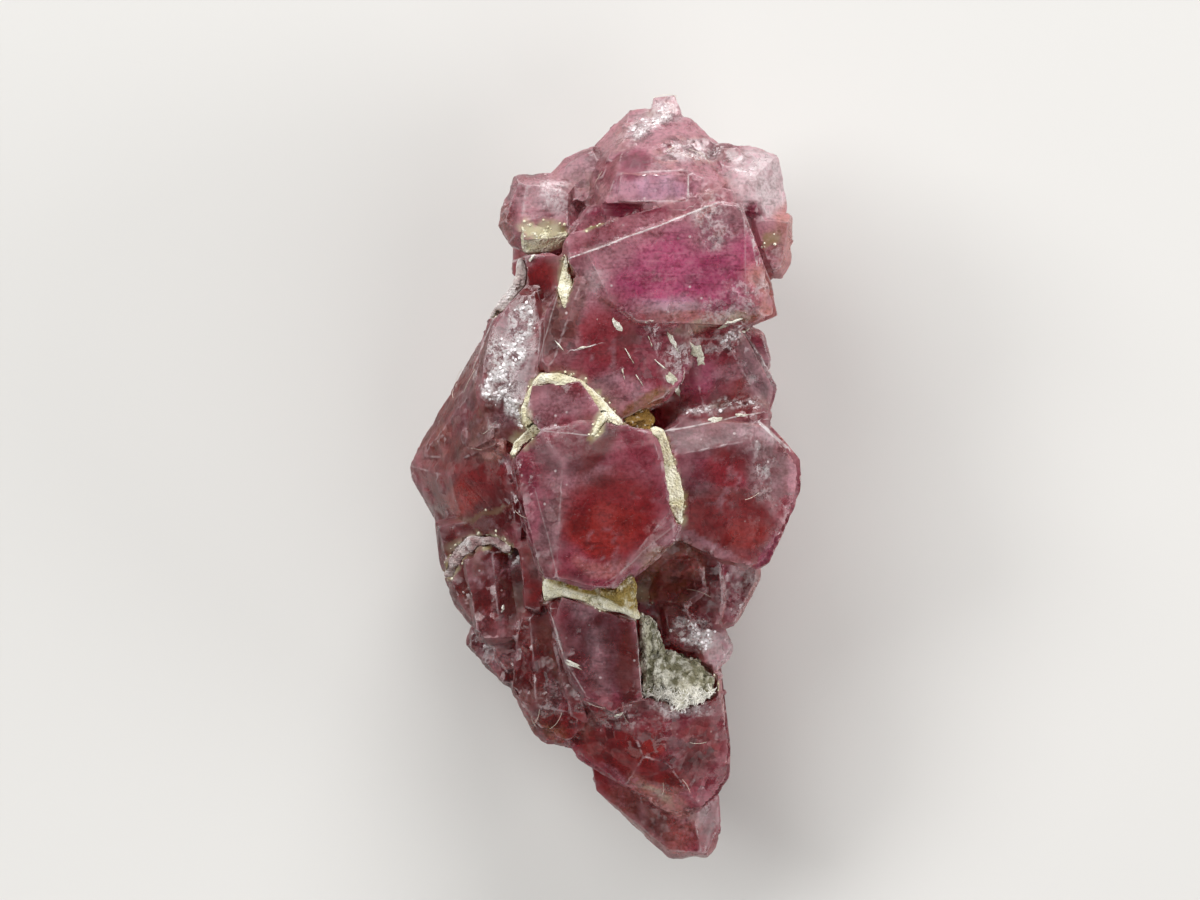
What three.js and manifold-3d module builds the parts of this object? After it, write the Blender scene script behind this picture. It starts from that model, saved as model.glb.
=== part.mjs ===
// A pezzottaite crystal cluster, lying on its broken back with its best side up.
//
// Millimetres. +Z is up, away from the surface it lies on; +Y runs from the narrow tail to the
// three-lobed head. The origin is the middle of its footprint, on that surface.
//
// The pink crystals grew together, so they are one solid. Pale feldspar and clay sit in the
// seams and pockets between them, each lump a solid of its own.

import * as THREE from "three";
import { ConvexGeometry } from "three/addons/geometries/ConvexGeometry.js";
import { mergeVertices } from "three/addons/utils/BufferGeometryUtils.js";
import Module from "manifold-3d";

const wasm = await Module();
wasm.setup();

// ---------------------------------------------------------------- driving dimensions
const HALF_LENGTH = 10.1; // head to tail, halved: nothing reaches further along Y
const HALF_WIDTH = 5.15; // wing tip to right-hand crystal, halved: nothing reaches further along X
const FILL_GAP = 0.05; // clearance between the crystals and what fills their seams
const FILL_DEPTH = 0.6; // how deep the fill reaches into a seam
const OPEN = 1.6; // how far a groove is cut clear above its fill
const BIG = 60; // a cutting block, larger than the whole cluster
const WELD = 1e-4; // vertices closer than this are one

// The line that the crystals radiate from: its place across, and its length as a share of theirs.
const CORE = { x: 0.3, reach: 0.82 };

// A crystal's root: how far it leans towards that line, and its size as a share of the girdle.
const ROOT = { lean: 0.45, taper: 0.72 };

// Growth ledges below a girdle: how far each stands out, how far down and how evenly they come,
// and how thick they are.
const LEDGE = { out: 0.07, down: 0.6, spread: [0.8, 1.3], thick: 0.12 };

// A knocked-off corner: its usual size and spread, the bluntest corner that breaks (degrees), how
// its face leans sideways and upwards, how deep it starts, and the cutter's size in chips.
const CHIP = {
  size: 0.2, spread: [0.5, 1.2], sharp: 112, lean: 0.5, rise: [-0.1, 0.7], bite: 0.5, cutter: 5,
};

// A side crystal: how much its corners swing (degrees) and vary in radius, its bevelled edge and
// the widest that gets, and how narrow and how deep its root is. Shares are of its width.
const PRISM = {
  sides: 6, flat: 0.8, swing: 12, radius: [0.82, 1.12],
  edge: 0.09, widest: 0.3, edgeSpread: [0.6, 1.3], taper: 0.8, depth: 0.7, deeper: 0.8,
};

// The layer grown on some of their ends: its top, its rim and the rim's height, as shares, how
// deep it is sunk, and how far it sits off centre.
const STEP = { top: 0.5, rim: 0.62, rimHeight: 0.5, sunk: 0.3, shift: 0.2 };

const SCOOP = { around: 8, down: 24 }; // facets of a scoop's ball

// A seam's bead: its corners, its foot and the rise of its back as shares of its width, and how
// far its corners turn for each millimetre along X and Y, so that no two beads line up.
const BEAD = { corners: 4, foot: 0.8, back: 0.22, turn: [3, 5] };

// A lump's top and foot as shares of its outline, and how far its top stands over its sunk rim.
const LUMP = { top: 0.8, foot: 0.85, lift: 0.05, rim: -0.04 };

const CRYSTAL = { color: 0xb0485e, roughness: 0.35 };
const FILL_ROUGHNESS = 0.9;
const UP = new THREE.Vector3(0, 0, 1);

// ---------------------------------------------------------------- tools
let seed = 71;
/** The next number of a fixed sequence, from low to high. */
function vary(low, high) {
  seed = (seed * 48271) % 2147483647;
  return low + (seed / 2147483647) * (high - low);
}

/** A closed three.js geometry as a solid. */
function solidOf(geometry) {
  const bare = geometry.clone();
  bare.deleteAttribute("normal");
  bare.deleteAttribute("uv");
  const merged = mergeVertices(bare, WELD);
  return new wasm.Manifold(
    new wasm.Mesh({
      numProp: 3,
      vertProperties: merged.attributes.position.array,
      triVerts: new Uint32Array(merged.index.array),
    }),
  );
}

/** A solid back as a three.js geometry. */
function geometryOf(solid) {
  const mesh = solid.getMesh();
  const geometry = new THREE.BufferGeometry();
  geometry.setAttribute("position", new THREE.BufferAttribute(mesh.vertProperties, 3));
  geometry.setIndex(new THREE.BufferAttribute(mesh.triVerts, 1));
  const flat = geometry.toNonIndexed();
  flat.computeVertexNormals();
  return flat;
}

/** The convex block round some points. */
function block(points) {
  return solidOf(new ConvexGeometry(points.map((p) => new THREE.Vector3(...p))));
}

/** A box with one face on a plane, reaching outwards from it. */
function cutter(size, through, outward) {
  const tool = new THREE.BoxGeometry(size, size, size);
  tool.translate(0, 0, size / 2);
  tool.applyQuaternion(new THREE.Quaternion().setFromUnitVectors(UP, outward));
  tool.translate(...through);
  return solidOf(tool);
}

/** The solid without everything on the outer side of a plane. */
function split(solid, through, normal) {
  return solid.subtract(cutter(BIG, through, new THREE.Vector3(...normal).normalize()));
}

/** The mean of an outline's corners. */
function middleOf(outline) {
  const sum = outline.reduce((s, p) => [s[0] + p[0], s[1] + p[1]], [0, 0]);
  return [sum[0] / outline.length, sum[1] / outline.length];
}

/** An outline drawn in towards its middle by a distance, or out if that is negative. */
function inset(outline, by) {
  const [mx, my] = middleOf(outline);
  return outline.map(([x, y]) => {
    const keep = Math.max(0, 1 - by / Math.hypot(x - mx, y - my));
    return [mx + (x - mx) * keep, my + (y - my) * keep];
  });
}

/** The angle between the two sides that meet at corner i of an outline, in degrees. */
function angleAt(outline, i) {
  const [a, b, c] = [-1, 0, 1].map((step) => outline.at((i + step) % outline.length));
  const before = new THREE.Vector2(a[0] - b[0], a[1] - b[1]);
  const after = new THREE.Vector2(c[0] - b[0], c[1] - b[1]);
  return THREE.MathUtils.radToDeg(before.angleTo(after));
}

/** Takes a small rough bite out of a solid at one of its corners. */
function chip(solid, corner, middle, size) {
  const sideways = () => vary(-CHIP.lean, CHIP.lean);
  const out = new THREE.Vector3(...corner).sub(new THREE.Vector3(...middle)).normalize();
  out.add(new THREE.Vector3(sideways(), sideways(), vary(...CHIP.rise))).normalize();
  const through = new THREE.Vector3(...corner).addScaledVector(out, -size * CHIP.bite);
  return solid.subtract(cutter(size * CHIP.cutter, through.toArray(), out));
}

/**
 * A crystal that faces up: a front face on a leaning plane, a wider girdle just below it, growth
 * ledges down its flanks, and a narrower root that leans towards the core of the cluster.
 */
function crystal(shape) {
  const { outline, front, lean = [0, 0], bevel = 0.15, drop = 0.15, root = 2.6, ledges = 0 } = shape;
  const [mx, my] = middleOf(outline);
  const onPlane = ([x, y]) => front + (x - mx) * lean[0] + (y - my) * lean[1];
  const rootAt = [mx + (CORE.x - mx) * ROOT.lean, my + my * (CORE.reach - 1) * ROOT.lean];
  const level = (ring, down) => ring.map((p) => [...p, onPlane(p) - down]);
  const rear = outline
    .filter((_, i) => i % 2 === 0)
    .map(([x, y]) => [
      rootAt[0] + (x - mx) * ROOT.taper,
      rootAt[1] + (y - my) * ROOT.taper,
      root,
    ]);
  const girdle = level(outline, drop);
  let solid = block([...level(inset(outline, bevel), 0), ...girdle, ...rear]);
  for (const [through, normal] of shape.facets ?? []) solid = split(solid, through, normal);
  girdle.forEach((corner, i) => {
    if (angleAt(outline, i) > CHIP.sharp) return;
    const size = (shape.chip ?? CHIP.size) * vary(...CHIP.spread);
    solid = chip(solid, corner, [mx, my, front - drop], size);
  });
  for (let k = 1; k <= ledges; k += 1) {
    const down = drop + k * LEDGE.down * vary(...LEDGE.spread);
    const ring = inset(outline, -k * LEDGE.out);
    solid = solid.add(block([...level(ring, down), ...level(ring, down + LEDGE.thick), ...rear]));
  }
  return solid;
}

/**
 * An uneven six-sided crystal that faces any way. tip is the middle of its end face, aim the
 * way that face looks, across its width and flat its thickness as a share of that. A step is
 * a smaller layer grown on the end face.
 */
function prism({ tip, aim, across, flat = PRISM.flat, turn = 0, step = 0 }) {
  const half = across / 2;
  const corners = Array.from({ length: PRISM.sides }, (_, k) => {
    const swing = vary(-PRISM.swing, PRISM.swing);
    const angle = THREE.MathUtils.degToRad((k * 360) / PRISM.sides + turn + swing);
    const radius = half * vary(...PRISM.radius);
    return [radius * Math.cos(angle), radius * flat * Math.sin(angle)];
  });
  const ring = (scale, height, [dx, dy] = [0, 0]) =>
    corners.map(([x, y]) => new THREE.Vector3(x * scale + dx, y * scale + dy, height));
  const outward = new THREE.Vector3(...aim).normalize();
  const turned = new THREE.Quaternion().setFromUnitVectors(UP, outward);
  const place = (points) =>
    solidOf(
      new ConvexGeometry(
        points.map((p) => p.applyQuaternion(turned).add(new THREE.Vector3(...tip))),
      ),
    );
  const edge = Math.min(PRISM.widest, PRISM.edge * across);
  const main = place([
    ...ring(1 - edge / half, 0),
    ...ring(1, -edge * vary(...PRISM.edgeSpread)),
    ...ring(PRISM.taper, -across * PRISM.depth - PRISM.deeper),
  ]);
  if (!step) return main;
  const aside = () => vary(-STEP.shift, STEP.shift) * half;
  const shift = [aside(), aside()];
  const layer = place([
    ...ring(STEP.top, step, shift),
    ...ring(STEP.rim, step * STEP.rimHeight, shift),
    ...ring(STEP.rim, -STEP.sunk, shift),
  ]);
  return main.add(layer);
}

/** A shallow curved scoop, such as glassy stone breaks with. */
function scoop([x, y], depth, across) {
  const radius = (across * across) / (8 * depth);
  const ball = new THREE.SphereGeometry(radius, SCOOP.around, SCOOP.down);
  ball.rotateX(Math.PI / 2);
  ball.translate(x, y, depth - radius);
  return solidOf(ball);
}

// ---------------------------------------------------------------- the crystals that face up
// Outlines are as seen from above, corner by corner. front is the height of the face's middle
// and lean its slope along X and Y.

const head = [
  { // left lobe, rounded and cloudy
    outline: [
      [-2.3, 8.0], [-1.35, 7.98], [-0.5, 7.9], [-0.45, 6.4], [-0.9, 6.15], [-1.9, 5.85], [-2.45, 6.1],
      [-2.72, 6.65], [-2.5, 7.3],
    ],
    front: 6.2, lean: [0.12, -0.08], bevel: 0.45, drop: 0.6, root: 2.4,
    facets: [
      [[-2.1, 7.2, 6.05], [-0.6, 0.15, 0.75]],
      [[-1.2, 7.75, 5.95], [0.1, 0.7, 0.7]],
      [[-1.7, 6.2, 6.1], [-0.1, -0.7, 0.7]],
      [[-0.65, 7.2, 6.15], [0.6, 0.1, 0.75]],
    ],
  },
  { // hump behind the left lobe
    outline: [
      [-1.4, 7.9], [-0.95, 8.38], [-0.5, 8.33], [-0.1, 8.75], [0.3, 7.6], [-0.4, 7.0], [-1.1, 7.2],
    ],
    front: 5.9, lean: [0.2, -0.3], bevel: 0.2, drop: 0.3,
  },
  { // right lobe, pale and milky
    outline: [
      [3.0, 8.8], [3.55, 8.8], [4.05, 8.72], [4.3, 8.45], [4.6, 8.45], [4.85, 7.7], [4.97, 7.0],
      [4.6, 6.4], [3.4, 6.6], [2.9, 7.6],
    ],
    front: 6.9, lean: [-0.16, -0.14], bevel: 0.4, drop: 0.6, root: 2.2,
    facets: [
      [[4.45, 7.5, 6.4], [0.75, 0.1, 0.6]],
      [[3.9, 8.25, 6.4], [0.1, 0.75, 0.6]],
      [[3.7, 7.6, 7.0], [-0.2, 0.3, 0.93]],
    ],
  },
  { // its lower half, hanging over the box crystal's shoulder
    outline: [[3.75, 6.9], [4.95, 6.9], [4.98, 6.2], [4.92, 5.6], [4.7, 5.2], [4.38, 5.1], [4.0, 5.6]],
    front: 6.8, lean: [-0.2, 0.12], bevel: 0.3, drop: 0.5, root: 2.6,
  },
];

const peak = [
  [0.1, 7.08, 7.4], [2.6, 7.05, 7.5], [3.1, 7.5, 7.3], [2.25, 7.92, 7.3], [0.42, 7.9, 7.2],
  [0.75, 9.7, 5.0], [1.2, 9.72, 5.1], [2.35, 9.45, 5.0], [3.05, 8.8, 5.2], [3.5, 8.0, 6.0],
  [-0.5, 8.4, 5.0], [-0.3, 7.1, 6.2], [0.1, 8.9, 4.4], [0.9, 9.6, 3.6], [2.4, 9.3, 3.6],
  [3.2, 7.6, 2.4], [0.0, 7.0, 2.0], [3.0, 5.5, 2.0], [2.0, 8.6, 2.6],
];

const knob = [
  [1.32, 9.45, 5.4], [1.38, 9.98, 5.1], [1.55, 9.3, 5.6], [1.9, 10.05, 5.0], [2.1, 9.6, 5.2],
  [2.15, 9.3, 4.9],
  [1.35, 9.8, 4.3], [1.95, HALF_LENGTH, 4.5], [2.1, 9.4, 4.2], [1.3, 9.2, 4.2],
];

const shoulder = [
  { // the box crystal: a long flat face under a straight ridge
    outline: [
      [-0.85, 5.65], [0.9, 6.27], [2.9, 7.08], [3.55, 7.02], [3.66, 6.2], [3.92, 5.5], [4.3, 5.05],
      [4.46, 4.25], [3.8, 3.96], [0.85, 4.0], [0.2, 4.5], [-0.5, 5.05],
    ],
    front: 8.1, lean: [0.03, 0.07], bevel: 0.09, drop: 0.12, root: 3.0, chip: 0.12, ledges: 1,
    facets: [
      [[-0.1, 5.2, 8.0], [-0.5, -0.3, 0.85]],
      [[3.75, 5.2, 8.1], [0.34, -0.06, 0.93]],
      [[2.2, 4.35, 8.0], [0.02, -0.3, 0.94]],
    ],
  },
  { // terrace above the ridge
    outline: [
      [-0.98, 6.25], [0.0, 6.52], [1.25, 6.8], [1.95, 7.05], [3.1, 7.48], [3.55, 7.35], [3.2, 6.6],
      [-0.8, 5.5],
    ],
    front: 7.6, lean: [0, -0.12], bevel: 0.06, drop: 0.08, root: 3.0, chip: 0.1,
  },
  { // the floor of the recess below the peak
    outline: [[-0.35, 7.1], [2.7, 7.2], [3.7, 7.1], [3.7, 5.0], [-0.9, 5.0], [-1.0, 6.1]],
    front: 6.9, lean: [0.03, 0.02], bevel: 0.1, drop: 0.1,
  },
  { // the neck, left of the box crystal
    outline: [[-2.0, 5.85], [-1.05, 5.85], [-0.95, 5.0], [-1.1, 4.2], [-1.6, 4.2], [-2.0, 5.0]],
    front: 6.6, lean: [0.15, 0.05], bevel: 0.1, drop: 0.15,
  },
  { // thin crystal between the neck and the box crystal
    outline: [[-0.98, 6.1], [-0.6, 6.1], [-0.3, 5.2], [-0.8, 4.6], [-1.05, 5.2]],
    front: 7.1, lean: [0.2, 0.05], bevel: 0.08, drop: 0.1, chip: 0.08,
  },
];

const middle = [
  { // shield-shaped crystal under the box
    outline: [
      [-1.5, 4.2], [-1.52, 3.0], [-1.38, 2.66], [-0.5, 2.5], [0.5, 1.55], [1.7, 2.02], [1.98, 2.4],
      [2.35, 3.1], [2.3, 3.8], [0.9, 4.3], [-0.6, 5.2], [-1.1, 4.9],
    ],
    front: 7.7, lean: [-0.05, 0.06], bevel: 0.14, drop: 0.18, ledges: 1,
    facets: [
      [[1.5, 3.0, 7.62], [0.42, 0.06, 0.9]],
      [[-1.2, 3.6, 7.7], [-0.4, 0.1, 0.9]],
      [[0.2, 2.3, 7.6], [-0.05, -0.3, 0.95]],
    ],
  },
  { // small five-sided crystal
    outline: [[-1.58, 2.33], [-0.58, 2.47], [0.03, 1.68], [-0.15, 1.0], [-1.5, 1.0], [-1.86, 1.7]],
    front: 8.2, lean: [0.04, -0.12], bevel: 0.1, drop: 0.12, root: 3.0, chip: 0.1,
  },
  { // the large six-sided crystal in the centre
    outline: [
      [-2.25, 0.6], [-1.5, 1.3], [0.1, 1.5], [0.5, 1.42], [1.4, 1.2], [1.74, 0.2], [1.8, -0.7],
      [2.0, -1.15], [1.85, -1.5], [0.35, -2.85], [0.0, -2.9], [-1.45, -2.55], [-1.6, -1.8],
      [-1.92, -1.0],
    ],
    front: 8.5, lean: [0.05, 0.07], bevel: 0.16, drop: 0.16, chip: 0.14, ledges: 2,
    facets: [
      [[-1.0, -0.8, 8.45], [-0.4, -0.04, 0.9]],
      [[1.02, -1.86, 8.4], [0.34, -0.36, 0.87]],
      [[-0.3, 0.75, 8.53], [-0.1, 0.2, 0.97]],
    ],
  },
  { // upper right crystal
    outline: [
      [1.6, 1.55], [1.7, 2.1], [2.1, 2.8], [2.0, 3.9], [3.5, 4.08], [3.66, 3.95], [4.2, 2.95],
      [4.52, 2.4], [4.4, 1.95], [4.25, 1.6], [2.4, 1.5],
    ],
    front: 6.9, lean: [-0.14, 0.1], bevel: 0.15, drop: 0.2, ledges: 1,
    facets: [
      [[3.1, 3.6, 7.0], [0.15, 0.5, 0.85]],
      [[4.0, 2.7, 6.6], [0.6, 0.2, 0.78]],
      [[2.5, 2.5, 6.98], [-0.34, -0.2, 0.9]],
    ],
  },
  { // ledge between the two right-hand crystals
    outline: [[2.25, 1.78], [4.2, 2.02], [4.42, 1.7], [4.35, 1.3], [3.0, 0.9], [1.65, 1.25]],
    front: 7.05, lean: [-0.16, -0.2], bevel: 0.12, drop: 0.15,
  },
  { // large lower right crystal
    outline: [
      [1.62, 1.25], [2.2, 1.5], [3.2, 1.5], [4.3, 1.38], [4.7, 0.95], [5.15, 0.4], [5.18, 0.0],
      [5.0, -0.55], [4.75, -1.0], [4.32, -2.08], [4.05, -2.27], [3.2, -2.1], [1.95, -1.5], [2.0, -0.9],
      [1.74, 0.3],
    ],
    front: 7.5, lean: [-0.1, -0.03], bevel: 0.14, drop: 0.18, chip: 0.16, ledges: 1,
    facets: [
      [[3.2, -0.5, 7.45], [0.02, -0.26, 0.96]],
      [[4.25, 0.2, 7.3], [0.5, 0.12, 0.85]],
      [[3.2, 1.1, 7.4], [0, 0.45, 0.9]],
      [[2.9, -1.8, 7.3], [-0.1, -0.5, 0.86]],
    ],
  },
  { // plate at its lower right edge
    outline: [
      [4.2, -1.0], [4.45, -1.3], [4.58, -1.5], [4.42, -2.0], [4.2, -2.2], [3.6, -2.0], [3.6, -1.2],
    ],
    front: 6.1, lean: [-0.1, 0], bevel: 0.06, drop: 0.08, chip: 0.05,
  },
  { // long bright crystal on the left, its face turned outwards
    outline: [
      [-2.1, 4.95], [-1.65, 4.95], [-1.45, 4.2], [-1.5, 3.2], [-1.62, 2.5], [-1.88, 1.7], [-1.6, 1.3],
      [-2.2, 0.8], [-2.6, 1.05], [-3.1, 1.65], [-3.3, 2.3], [-3.15, 3.0], [-2.98, 4.0], [-2.6, 4.5],
    ],
    front: 7.0, lean: [0.42, -0.1], bevel: 0.22, drop: 0.22, chip: 0.15, ledges: 1,
    facets: [[[-2.6, 1.8, 6.8], [-0.45, -0.35, 0.8]]],
  },
];

const wing = [
  [-2.85, 4.2, 4.6], [-3.5, 3.1, 4.2], [-4.5, 1.4, 3.5], [-HALF_WIDTH, 0.35, 3.0], [-5.05, 0.0, 2.9],
  [-4.72, -0.5, 2.8],
  [-4.35, -1.3, 2.9], [-3.2, 2.4, 6.0], [-2.5, 0.7, 6.7], [-3.9, 0.05, 5.3], [-2.0, -0.6, 6.6],
  [-2.1, -1.8, 6.3],
  [-3.5, -1.6, 5.0], [-3.4, 1.5, 1.6], [-3.6, -0.1, 1.6], [-3.2, -1.4, 1.5], [-2.2, 3.2, 1.6],
  [0.0, 1.0, 0.9],
];

// Growth layers on the wing's upper slope, each a thinner sheet on the last.
const wingLayers = [
  [
    [-2.95, 4.0, 4.95], [-3.45, 3.05, 4.75], [-4.3, 1.5, 4.1], [-4.75, 0.6, 3.75], [-3.3, 2.35, 6.05],
    [-2.7, 0.9, 6.72], [-3.6, 0.55, 5.65], [-2.6, 2.0, 4.0],
  ],
  [
    [-3.0, 3.6, 5.3], [-3.35, 2.9, 5.15], [-3.95, 1.5, 4.75], [-4.2, 0.9, 4.5], [-3.2, 2.3, 6.2],
    [-2.75, 1.1, 6.8], [-3.3, 0.8, 6.15], [-2.6, 2.0, 4.2],
  ],
];

const flank = [
  { // red slab below the wing
    outline: [
      [-4.38, -1.1], [-4.25, -2.2], [-4.02, -2.7], [-3.88, -3.3], [-3.45, -3.85], [-2.9, -4.4],
      [-1.8, -4.2], [-1.4, -3.0], [-1.5, -1.6], [-2.5, -1.1], [-3.4, -0.9],
    ],
    front: 5.3, lean: [0.4, 0.06], bevel: 0.2, drop: 0.3, root: 1.8,
  },
  { // long dark crystal lying on that slab
    outline: [
      [-3.65, -2.0], [-3.0, -1.65], [-2.3, -1.9], [-2.0, -3.0], [-2.0, -4.0], [-2.6, -4.3],
      [-3.25, -4.3], [-3.4, -3.2],
    ],
    front: 5.75, lean: [0.2, 0.0], bevel: 0.18, drop: 0.25, root: 3.0,
    facets: [[[-2.7, -3.0, 5.75], [0.35, 0.05, 0.92]]],
  },
  { // narrow crystal between it and the central one
    outline: [[-2.15, -1.6], [-1.65, -1.5], [-1.35, -2.9], [-1.6, -3.5], [-2.0, -3.4]],
    front: 6.3, lean: [0.15, 0.1], bevel: 0.1, drop: 0.15, root: 3.0, chip: 0.08,
  },
  { // lower step of the left side
    outline: [
      [-3.5, -3.9], [-3.6, -4.4], [-3.4, -4.65], [-2.95, -4.98], [-2.5, -5.5], [-1.8, -5.4],
      [-1.4, -4.4], [-2.4, -3.7],
    ],
    front: 4.4, lean: [0.42, 0.05], bevel: 0.15, drop: 0.25, root: 2.0,
  },
  { // small clear crystal on the step
    outline: [[-2.85, -4.35], [-2.5, -4.3], [-2.2, -4.45], [-2.2, -5.0], [-2.45, -5.1], [-2.8, -4.75]],
    front: 5.1, lean: [0.1, 0.05], bevel: 0.08, drop: 0.1, root: 3.0, chip: 0.05,
  },
  { // brown-red crystal beside the lower prism
    outline: [
      [-2.1, -3.5], [-1.4, -3.1], [-1.1, -4.0], [-0.6, -5.2], [-0.2, -6.3], [-0.9, -6.9], [-1.8, -6.3],
      [-2.3, -5.4], [-2.2, -4.2],
    ],
    front: 5.8, lean: [0.02, 0.08], bevel: 0.2, drop: 0.25, root: 2.2,
    facets: [[[-1.9, -5.0, 5.7], [-0.5, -0.1, 0.85]], [[-1.35, -6.1, 5.65], [-0.1, -0.45, 0.88]]],
  },
  { // dark splinter in the groove beside the lower prism
    outline: [[-1.25, -4.3], [-1.0, -4.3], [-0.5, -5.6], [-0.35, -6.35], [-0.75, -6.2], [-1.05, -5.3]],
    front: 6.05, lean: [0.1, 0.15], bevel: 0.06, drop: 0.1, root: 3.4, chip: 0.05,
  },
  { // lowest step of the left side
    outline: [
      [-2.5, -5.3], [-2.15, -5.9], [-1.95, -6.5], [-1.45, -7.02], [-0.85, -7.12], [-0.3, -6.9],
      [-0.5, -5.8], [-1.6, -4.9],
    ],
    front: 4.7, lean: [0.35, 0.15], bevel: 0.15, drop: 0.2, root: 2.2,
  },
];

const foot = [
  { // grey-violet prism under the central crystal
    outline: [
      [-1.38, -3.2], [-0.95, -2.92], [0.88, -3.55], [1.0, -5.0], [1.06, -5.75], [0.4, -6.2],
      [-0.05, -6.35], [-0.55, -5.6], [-0.95, -5.0],
    ],
    front: 7.0, lean: [0.04, 0.3], bevel: 0.1, drop: 0.12, chip: 0.1, ledges: 1,
    facets: [
      [[-0.75, -4.2, 7.15], [-0.45, -0.05, 0.88]],
      [[0.28, -4.6, 6.95], [0.35, -0.25, 0.9]],
      [[-0.2, -5.7, 6.7], [-0.12, -0.7, 0.75]],
    ],
  },
  { // floor of the pocket between the central and right-hand crystals
    outline: [[0.5, -1.5], [3.1, -1.6], [3.25, -3.2], [2.9, -4.4], [0.9, -4.4], [0.5, -3.0]],
    front: 5.4, lean: [0.05, 0.1], bevel: 0.1, drop: 0.1, root: 1.8,
  },
  { // rough block standing in the pocket
    outline: [[1.1, -2.6], [1.7, -1.9], [2.5, -2.0], [2.75, -2.9], [2.2, -3.4], [1.3, -3.2]],
    front: 5.7, lean: [0.3, -0.25], bevel: 0.15, drop: 0.2, root: 3.6,
    facets: [[[1.6, -2.6, 5.6], [-0.6, 0.2, 0.75]], [[2.1, -2.3, 5.75], [0.2, 0.4, 0.9]]],
  },
  { // block under the right-hand crystal
    outline: [
      [2.9, -1.8], [4.2, -2.1], [4.2, -2.6], [3.62, -3.1], [3.52, -3.9], [2.8, -4.1], [2.6, -3.0],
    ],
    front: 5.2, lean: [-0.25, 0.1], bevel: 0.2, drop: 0.3, root: 2.0,
  },
  { // small pale crystal on the right edge
    outline: [
      [2.7, -3.75], [3.25, -3.9], [3.48, -4.38], [3.35, -4.7], [3.05, -4.98], [2.6, -4.9], [2.45, -4.2],
    ],
    front: 5.7, lean: [-0.15, -0.1], bevel: 0.15, drop: 0.2, root: 3.0, chip: 0.08,
  },
  { // broken slivers in the pocket
    outline: [[1.6, -3.3], [2.1, -3.2], [2.6, -3.9], [2.7, -4.5], [2.2, -4.6], [1.7, -4.2]],
    front: 5.65, lean: [0.1, 0.15], bevel: 0.08, drop: 0.1, root: 4.0, chip: 0.08,
  },
  { // the lower body, narrowing downwards
    outline: [
      [1.0, -5.5], [3.1, -4.95], [3.17, -6.0], [3.33, -7.0], [3.32, -7.8], [3.0, -8.3], [2.55, -8.65],
      [2.0, -8.85], [1.3, -8.4], [0.4, -7.8], [-0.45, -7.4], [-0.9, -6.8], [-0.4, -6.0],
    ],
    front: 5.9, lean: [-0.05, 0.2], bevel: 0.25, drop: 0.35, root: 1.7, ledges: 1,
    facets: [
      [[2.3, -7.6, 5.6], [0.3, -0.3, 0.88]],
      [[0.2, -7.0, 5.5], [-0.45, -0.35, 0.8]],
      [[1.5, -8.1, 5.35], [-0.1, -0.55, 0.8]],
    ],
  },
  { // the tail
    outline: [
      [-0.25, -7.5], [-0.12, -8.25], [0.6, -8.9], [1.8, -HALF_LENGTH], [2.95, -HALF_LENGTH],
      [3.18, -9.3], [3.12, -8.2], [1.5, -7.0],
    ],
    front: 4.4, lean: [0.05, 0.25], bevel: 0.3, drop: 0.5, root: 2.0,
    facets: [[[1.0, -8.8, 4.3], [-0.4, -0.25, 0.85]], [[2.7, -9.2, 4.2], [0.5, -0.1, 0.85]]],
  },
];

// Small crystals and steps grown on the faces above.
const small = [
  { tip: [0.85, 9.15, 5.75], aim: [0.05, 0.55, 0.8], across: 0.75, turn: 15, flat: 0.6 },
  { tip: [1.85, 8.5, 6.6], aim: [0.1, 0.5, 0.85], across: 0.8, turn: 40, flat: 0.7 },
  { tip: [2.65, 8.62, 6.2], aim: [0.3, 0.5, 0.8], across: 0.9, turn: 10, flat: 0.7 },
  { tip: [0.45, 8.35, 6.5], aim: [-0.35, 0.4, 0.85], across: 0.9, turn: 25, flat: 0.6 },
  { tip: [3.35, 8.35, 6.45], aim: [0.0, 0.6, 0.8], across: 0.9, turn: 5, flat: 0.8 },
  { tip: [4.25, 7.95, 6.2], aim: [0.5, 0.5, 0.7], across: 1.0, turn: 30, flat: 0.8 },
  { tip: [4.55, 6.0, 6.6], aim: [0.5, -0.1, 0.85], across: 0.8, turn: 0, flat: 0.8 },
  { tip: [3.3, 3.75, 7.02], aim: [0.1, 0.35, 0.93], across: 0.8, turn: 50, flat: 0.6 },
  { tip: [-1.6, -5.9, 5.6], aim: [-0.4, -0.3, 0.85], across: 0.9, turn: 5, flat: 0.7 },
];

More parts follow.
